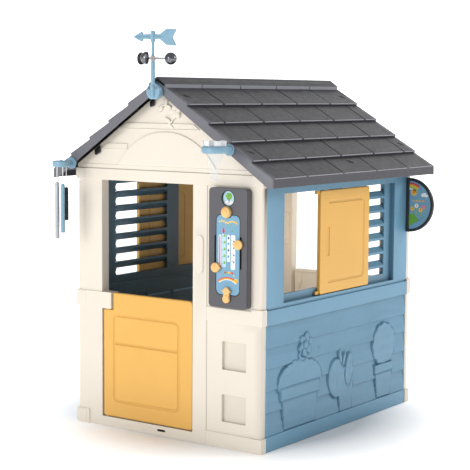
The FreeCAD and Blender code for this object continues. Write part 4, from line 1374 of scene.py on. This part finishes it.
def scales(at):
    """The thermometer, the arrow over it and the scales beside it."""
    shapes = []
    shapes.append(("white", oblong((249, 259), (632, 742), 5), at))
    shapes.append(("red", oblong((252, 256), (640, 738), 2), at - 0.3))
    shapes.append(("red", circle(254, 634, 5.5, 20), at - 0.3))
    shapes.append(("red", [(266, 765), (272, 765), (272, 756), (275, 756), (269, 745),
                           (263, 756), (266, 756)], at))
    shapes.append(("pale", oblong((261, 280), (632, 746), 5), at))
    for k in range(5):
        z = 644 + 23 * k
        shapes.append(("teal", oblong((263, 268), (z, z + 1.6)), at - 0.3))
        shapes.append(("green", circle(274, z + 4, 4.2, 14), at - 0.3))
        shapes.append(("leaf", circle(274, z + 7, 2.6, 12), at - 0.6))
    shapes.append(("white", oblong((284, 296), (652, 744), 5), at))
    shapes.append(("white", oblong((300, 318), (626, 744), 6), at))
    for k in range(7):
        z = 640 + 14 * k
        shapes.append(("navy", oblong((302, 306 + 3 * (k % 2)), (z, z + 1.3)), at - 0.3))
    for k, z in enumerate((668, 690, 712, 731)):
        drop = [(290, z + 8), (293.4, z + 1.5), (292.4, z - 2), (290, z - 3.2), (287.6, z - 2),
                (286.6, z + 1.5)]
        shapes.append(("navy" if k % 2 else "teal", rounded(drop, 1.2, 3), at - 0.3))
    for k, z in enumerate((652, 676, 700, 722)):
        shapes.append(("teal", circle(312, z, 3.4, 14), at - 0.3))
    return shapes


def panel_print():
    """The pale board and what is printed on it."""
    board = plate(
        "y", [oblong((239.5, 335.5), (539.5, 809.5), 18.5), circle(*DIAL, 21, 30)],
        FRONT + 1, FRONT + 3, 0.5,
    )
    piece("panel_board", board, ink["board"], nodes=["panel_insert"])
    at = FRONT + 1
    shapes = scales(at)
    # row of dots, rainbow and sun
    for k, (colour, u) in enumerate(
        (("red", 276), ("green", 284), ("sun", 291), ("orange", 299), ("red", 306))
    ):
        shapes.append((colour, circle(u, 616 - 0.6 * abs(k - 2), 3.6, 14), at))
    shapes += rainbow(
        ("red", "orange", "sun", "white"), (287, 536), radius=64, pitch=2.6, width=2.3,
        start=50, sweep=80, steps=16, at=at,
    )
    shapes.append(("sun", sun_rays(322, 590, 9, 6, 20), at - 0.4))
    shapes.append(("orange", circle(322, 590, 3.4, 14), at - 0.8))
    shapes.append(("sun", circle(313, 606, 3.0, 12), at))
    # a garland of leaves and buds where the top of the board is free
    for k in range(9):
        u = 253 + 8.6 * k
        z = 786 + 3.0 * sin(k * 1.3)
        shapes.append(("sun", rounded([(u - 3.6, z - 3), (u + 3.4, z - 2.4), (u + 2.6, z + 4.2),
                                       (u - 2.8, z + 3.6)], 1.6, 3), at))
    for k in range(4):
        shapes.append(("leaf", circle(262 + 17 * k, 776, 2.4, 10), at))
    shapes.append(("green", circle(306, 757, 3.0, 12), at))
    picture("panel_print", shapes)


def season_dial():
    """A dial with one tree for each season, and the turned knob in its middle."""
    wheel = disc(*DIAL, 72, FRONT + 7, FRONT + 9, 0.4, 64)
    wheel = carve(wheel, disc(*DIAL, 5, FRONT + 5, FRONT + 12, 0.2))
    piece("season_disc", wheel, ink["pale"], "season_dial", ["season_wheel"])
    shapes = []
    for turn, crown, ground in ((0, "green", "white"), (90, "leaf", "green"),
                                (180, "orange", "brown"), (270, "white", "white")):
        shapes += tree_picture(287, 868, radians(turn), crown, ground, FRONT + 7)
    picture("season_print", shapes, "season_dial")
    grip = [
        (0, FRONT - 18), (7.4, FRONT - 18), (9, FRONT - 17.4), (10, FRONT - 15.6),
        (13.6, FRONT - 15), (17, FRONT - 13.4), (19.2, FRONT - 9.4), (19.6, FRONT - 5),
        (18.4, FRONT - 1.4), (17.6, FRONT - 1), (5, FRONT - 1), (5, FRONT + 12), (0, FRONT + 12),
    ]
    piece("season_grip", lathe(grip, (DIAL[0], 0, DIAL[1]), "y", 48), peach, "season_dial",
          ["season_knob"])


def pointer():
    """An arrow-shaped knob on a round foot."""
    x, z = POINTER
    head = rounded(
        [(x - 12, z + 2), (x - 12, z + 23), (x - 22, z + 23), (x, z + 44), (x + 22, z + 23),
         (x + 12, z + 23), (x + 12, z + 2)], [3, 4, 5, 8, 5, 4, 3],
    )
    parts = [
        plate("y", [head], FRONT - 9.4, FRONT - 1, 3),
        disc(x, z, 14, FRONT - 11.5, FRONT - 1, 3),
        disc(x, z, 4, FRONT - 2, FRONT + 10, 0.6, 24),
    ]
    piece("pointer_grip", merge(*parts), peach, "pointer", ["pointer_knob"])


def sliders():
    """Two drop-shaped knobs, each on a stem through its slot."""
    for name, slot_x, height, side in (
        ("right_slider", RIGHT_SLOT, 713, 1), ("left_slider", LEFT_SLOT, 630, -1)
    ):
        knob_x = slot_x - side * 6
        drop = [
            (knob_x + side * 17 * cos(a), height + 17 * sin(a))
            for a in [radians(-125 + 250 * k / 24) for k in range(25)]
        ]
        drop += [(knob_x - side * 19, height + 4.5), (knob_x - side * 22, height),
                 (knob_x - side * 19, height - 4.5)]
        rise = (height - 6, height + 6)
        stem = [
            slab((slot_x - 2.9, slot_x + 2.9), (FRONT - 1.4, FRONT + 6), rise, 0.8),
            slab((slot_x - 5, slot_x + 5), (FRONT + 5.3, FRONT + 6.5), rise, 0.4),
        ]
        dome = disc(knob_x + side, height, 9, FRONT - 13, FRONT - 10, 1.5)
        piece(f"{name}_grip", merge(plate("y", [drop], FRONT - 12, FRONT - 1, 4), dome, *stem),
              peach, f"slider_{name.split('_')[0]}", [name])


panel_case()
panel_print()
season_dial()
pointer()
sliders()


# Sign at the back right corner

SIGN = (422, 789.5)
SIGN_FRONT = 476.5


def sign_case():
    """A half-round frame with a flange to the wall, and the board in it."""
    front, back = SIGN_FRONT, 490
    cu, cv = SIGN
    radius = 105.5
    arc = [radians(-90 + 180 * k / 40) for k in range(41)]
    edge = [(410, 684)] + [(cu + radius * cos(a), cv + radius * sin(a)) for a in arc]
    edge += [(410, 895)]
    hole_radius = radius - 11
    tilt = asin(2 / hole_radius)
    inner_arc = [-pi / 2 + tilt + (pi - 2 * tilt) * k / 40 for k in range(41)]
    hole = [(cu + hole_radius * cos(a), cv + hole_radius * sin(a)) for a in inner_arc]
    parts = [
        plate("y", [edge, hole], front, front + 5, 2),
        plate("y", [edge], front + 4, back, 2.4),
        slab((410, 414), (back - 1, 512), (692, 887), 1.2),
    ]
    piece("sign_case", merge(*parts), sign_dark, nodes=["sign_frame"])
    board_radius = hole_radius - 0.6
    board = [(cu + 0.8 + board_radius * cos(a), cv + board_radius * sin(a)) for a in inner_arc]
    piece("sign_board", plate("y", [board], front + 2, front + 4.05, 0.4), ink["board"],
          nodes=["sign_picture"])


def sign_print():
    """A garden: rainbow, sun, cloud, hill, four flowers and a row of buds."""
    cu, cv = SIGN
    at = SIGN_FRONT + 2
    shapes = rainbow(
        ("red", "orange", "sun", "leaf", "white"), (cu, cv), radius=88, pitch=5.5, width=5,
        start=58, sweep=30, steps=14, at=at,
    )
    shapes.append(("sun", sun_rays(cu + 22, cv + 50, 15, 10.5, 24), at - 0.4))
    shapes.append(("orange", circle(cu + 22, cv + 50, 7, 24), at - 0.8))
    for u, v, r in ((60, 40, 7), (68, 42, 8), (76, 38, 6)):
        shapes.append(("white", circle(cu + u, cv + v, r, 20), at - 0.01 * r))
    hill = [(cu + 2, cv - 84)] + [
        (cu + 2 + 80 * k / 12, cv - 40 + 10 * sin(k * 0.7) - 0.9 * k) for k in range(13)
    ] + [(cu + 70, cv - 62), (cu + 40, cv - 84)]
    hill = [(u, v) for u, v in hill if hypot(u - cu, v - cv) < 92]
    shapes.append(("green", hill, at))
    for u, v, colour in ((16, -14, "sun"), (34, -2, "white"), (52, -18, "sun"), (66, -6, "pink")):
        shapes.append(("leaf", [(cu + u - 1.2, cv - 44), (cu + u + 1.2, cv - 44),
                                (cu + u + 1, cv + v), (cu + u - 1, cv + v)], at - 0.3))
        for k in range(6):
            a = pi * k / 3
            spot = circle(cu + u + 5.5 * cos(a), cv + v + 5.5 * sin(a), 3.6, 12)
            shapes.append((colour, spot, at - 0.4 - 0.02 * k))
        shapes.append(("orange", circle(cu + u, cv + v, 3.2, 12), at - 0.8))
    for k in range(8):
        u = cu + 20 + 7.2 * k
        shapes.append(("orange" if k % 2 else "sun",
                       rounded([(u - 2.8, cv + 14), (u + 2.8, cv + 14), (u + 2, cv + 20),
                                (u - 2, cv + 20)], 1.2, 2), at))
    picture("sign_print", shapes)


sign_case()
sign_print()


# Carried-over CAD nodes keep their shape and get a finish

def finish_nodes(material, *nodes):
    for node in nodes:
        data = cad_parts[node].data
        data.materials.clear()
        data.materials.append(material)


finish_nodes(steel, "vane_screws", "panel_screws", "sign_screws", "wall_screws")
finish_nodes(panel_grey, "panel_backplate")


# Floor, world and lights

def set_down(name, mesh, look, height=0.0):
    thing = bpy.data.objects.new(name, mesh)
    thing.location.z = height
    mesh.materials.append(look.material)
    bpy.context.scene.collection.objects.link(thing)
    return thing


def studio():
    """A white floor that glows away from the house, a white sheet behind, and three lamps."""
    scene = bpy.context.scene
    scene.view_settings.view_transform = "Standard"
    ground, sheet = Shader("studio_floor"), Shader("studio_backdrop")
    for look, tone in ((ground, 0.93), (sheet, 0.9)):
        look.surface.inputs["Base Color"].default_value = (tone, tone, tone, 1)
        look.surface.inputs["Emission Color"].default_value = (1, 1, 1, 1)
    ground.surface.inputs["Roughness"].default_value = 0.9
    far = ground.node("ShaderNodeVectorMath", operation="LENGTH")
    ground.join(ground.place, far.inputs[0])
    glow = ground.remap(far.outputs["Value"], 0.45, 0.85, 0, 0.8)
    ground.join(glow, ground.surface.inputs["Emission Strength"])
    sheet.surface.inputs["Emission Strength"].default_value = 0.8

    bm = bmesh.new()
    bmesh.ops.create_grid(bm, x_segments=8, y_segments=8, size=30)
    mesh = bpy.data.meshes.new("floor")
    bm.to_mesh(mesh)
    bm.free()
    floor = set_down("floor", mesh, ground, -0.0005)
    along = Vector((0.815, 0.579, 0)) * 9
    away = Vector((-0.579, 0.815, 0)) * 13
    up = Vector((0, 0, 9))
    wall = bpy.data.meshes.new("backdrop")
    wall.from_pydata(
        [away - along, away + along, away + along + up, away - along + up], [], [(0, 1, 2, 3)]
    )
    backdrop = set_down("backdrop", wall, sheet)
    world = bpy.data.worlds.new("studio")
    world.use_nodes = True
    world.node_tree.nodes["Background"].inputs["Color"].default_value = (1, 1, 1, 1)
    world.node_tree.nodes["Background"].inputs["Strength"].default_value = 0.38
    scene.world = world

    def lamp(name, place, target, size, power, tint=(1, 1, 1), spread=180):
        data = bpy.data.lights.new(name, "AREA")
        data.size = size
        data.energy = power
        data.color = tint
        data.spread = radians(spread)
        holder = bpy.data.objects.new(name, data)
        aim = Vector(target) - Vector(place)
        holder.rotation_euler = aim.to_track_quat("-Z", "Y").to_euler()
        holder.location = place
        scene.collection.objects.link(holder)

    lamp("front", (-0.9, -5.2, 1.9), (0, 0, 0.7), 1.8, 87)
    lamp("right_back", (3.8, 2.6, 3.0), (0.2, 0, 0.6), 1.4, 58)
    lamp("inner_fill", (0.26, -0.42, 0.86), (-0.14, 0.5, 0.62), 0.15, 1.7, (1, 0.85, 0.66), 50)


studio()
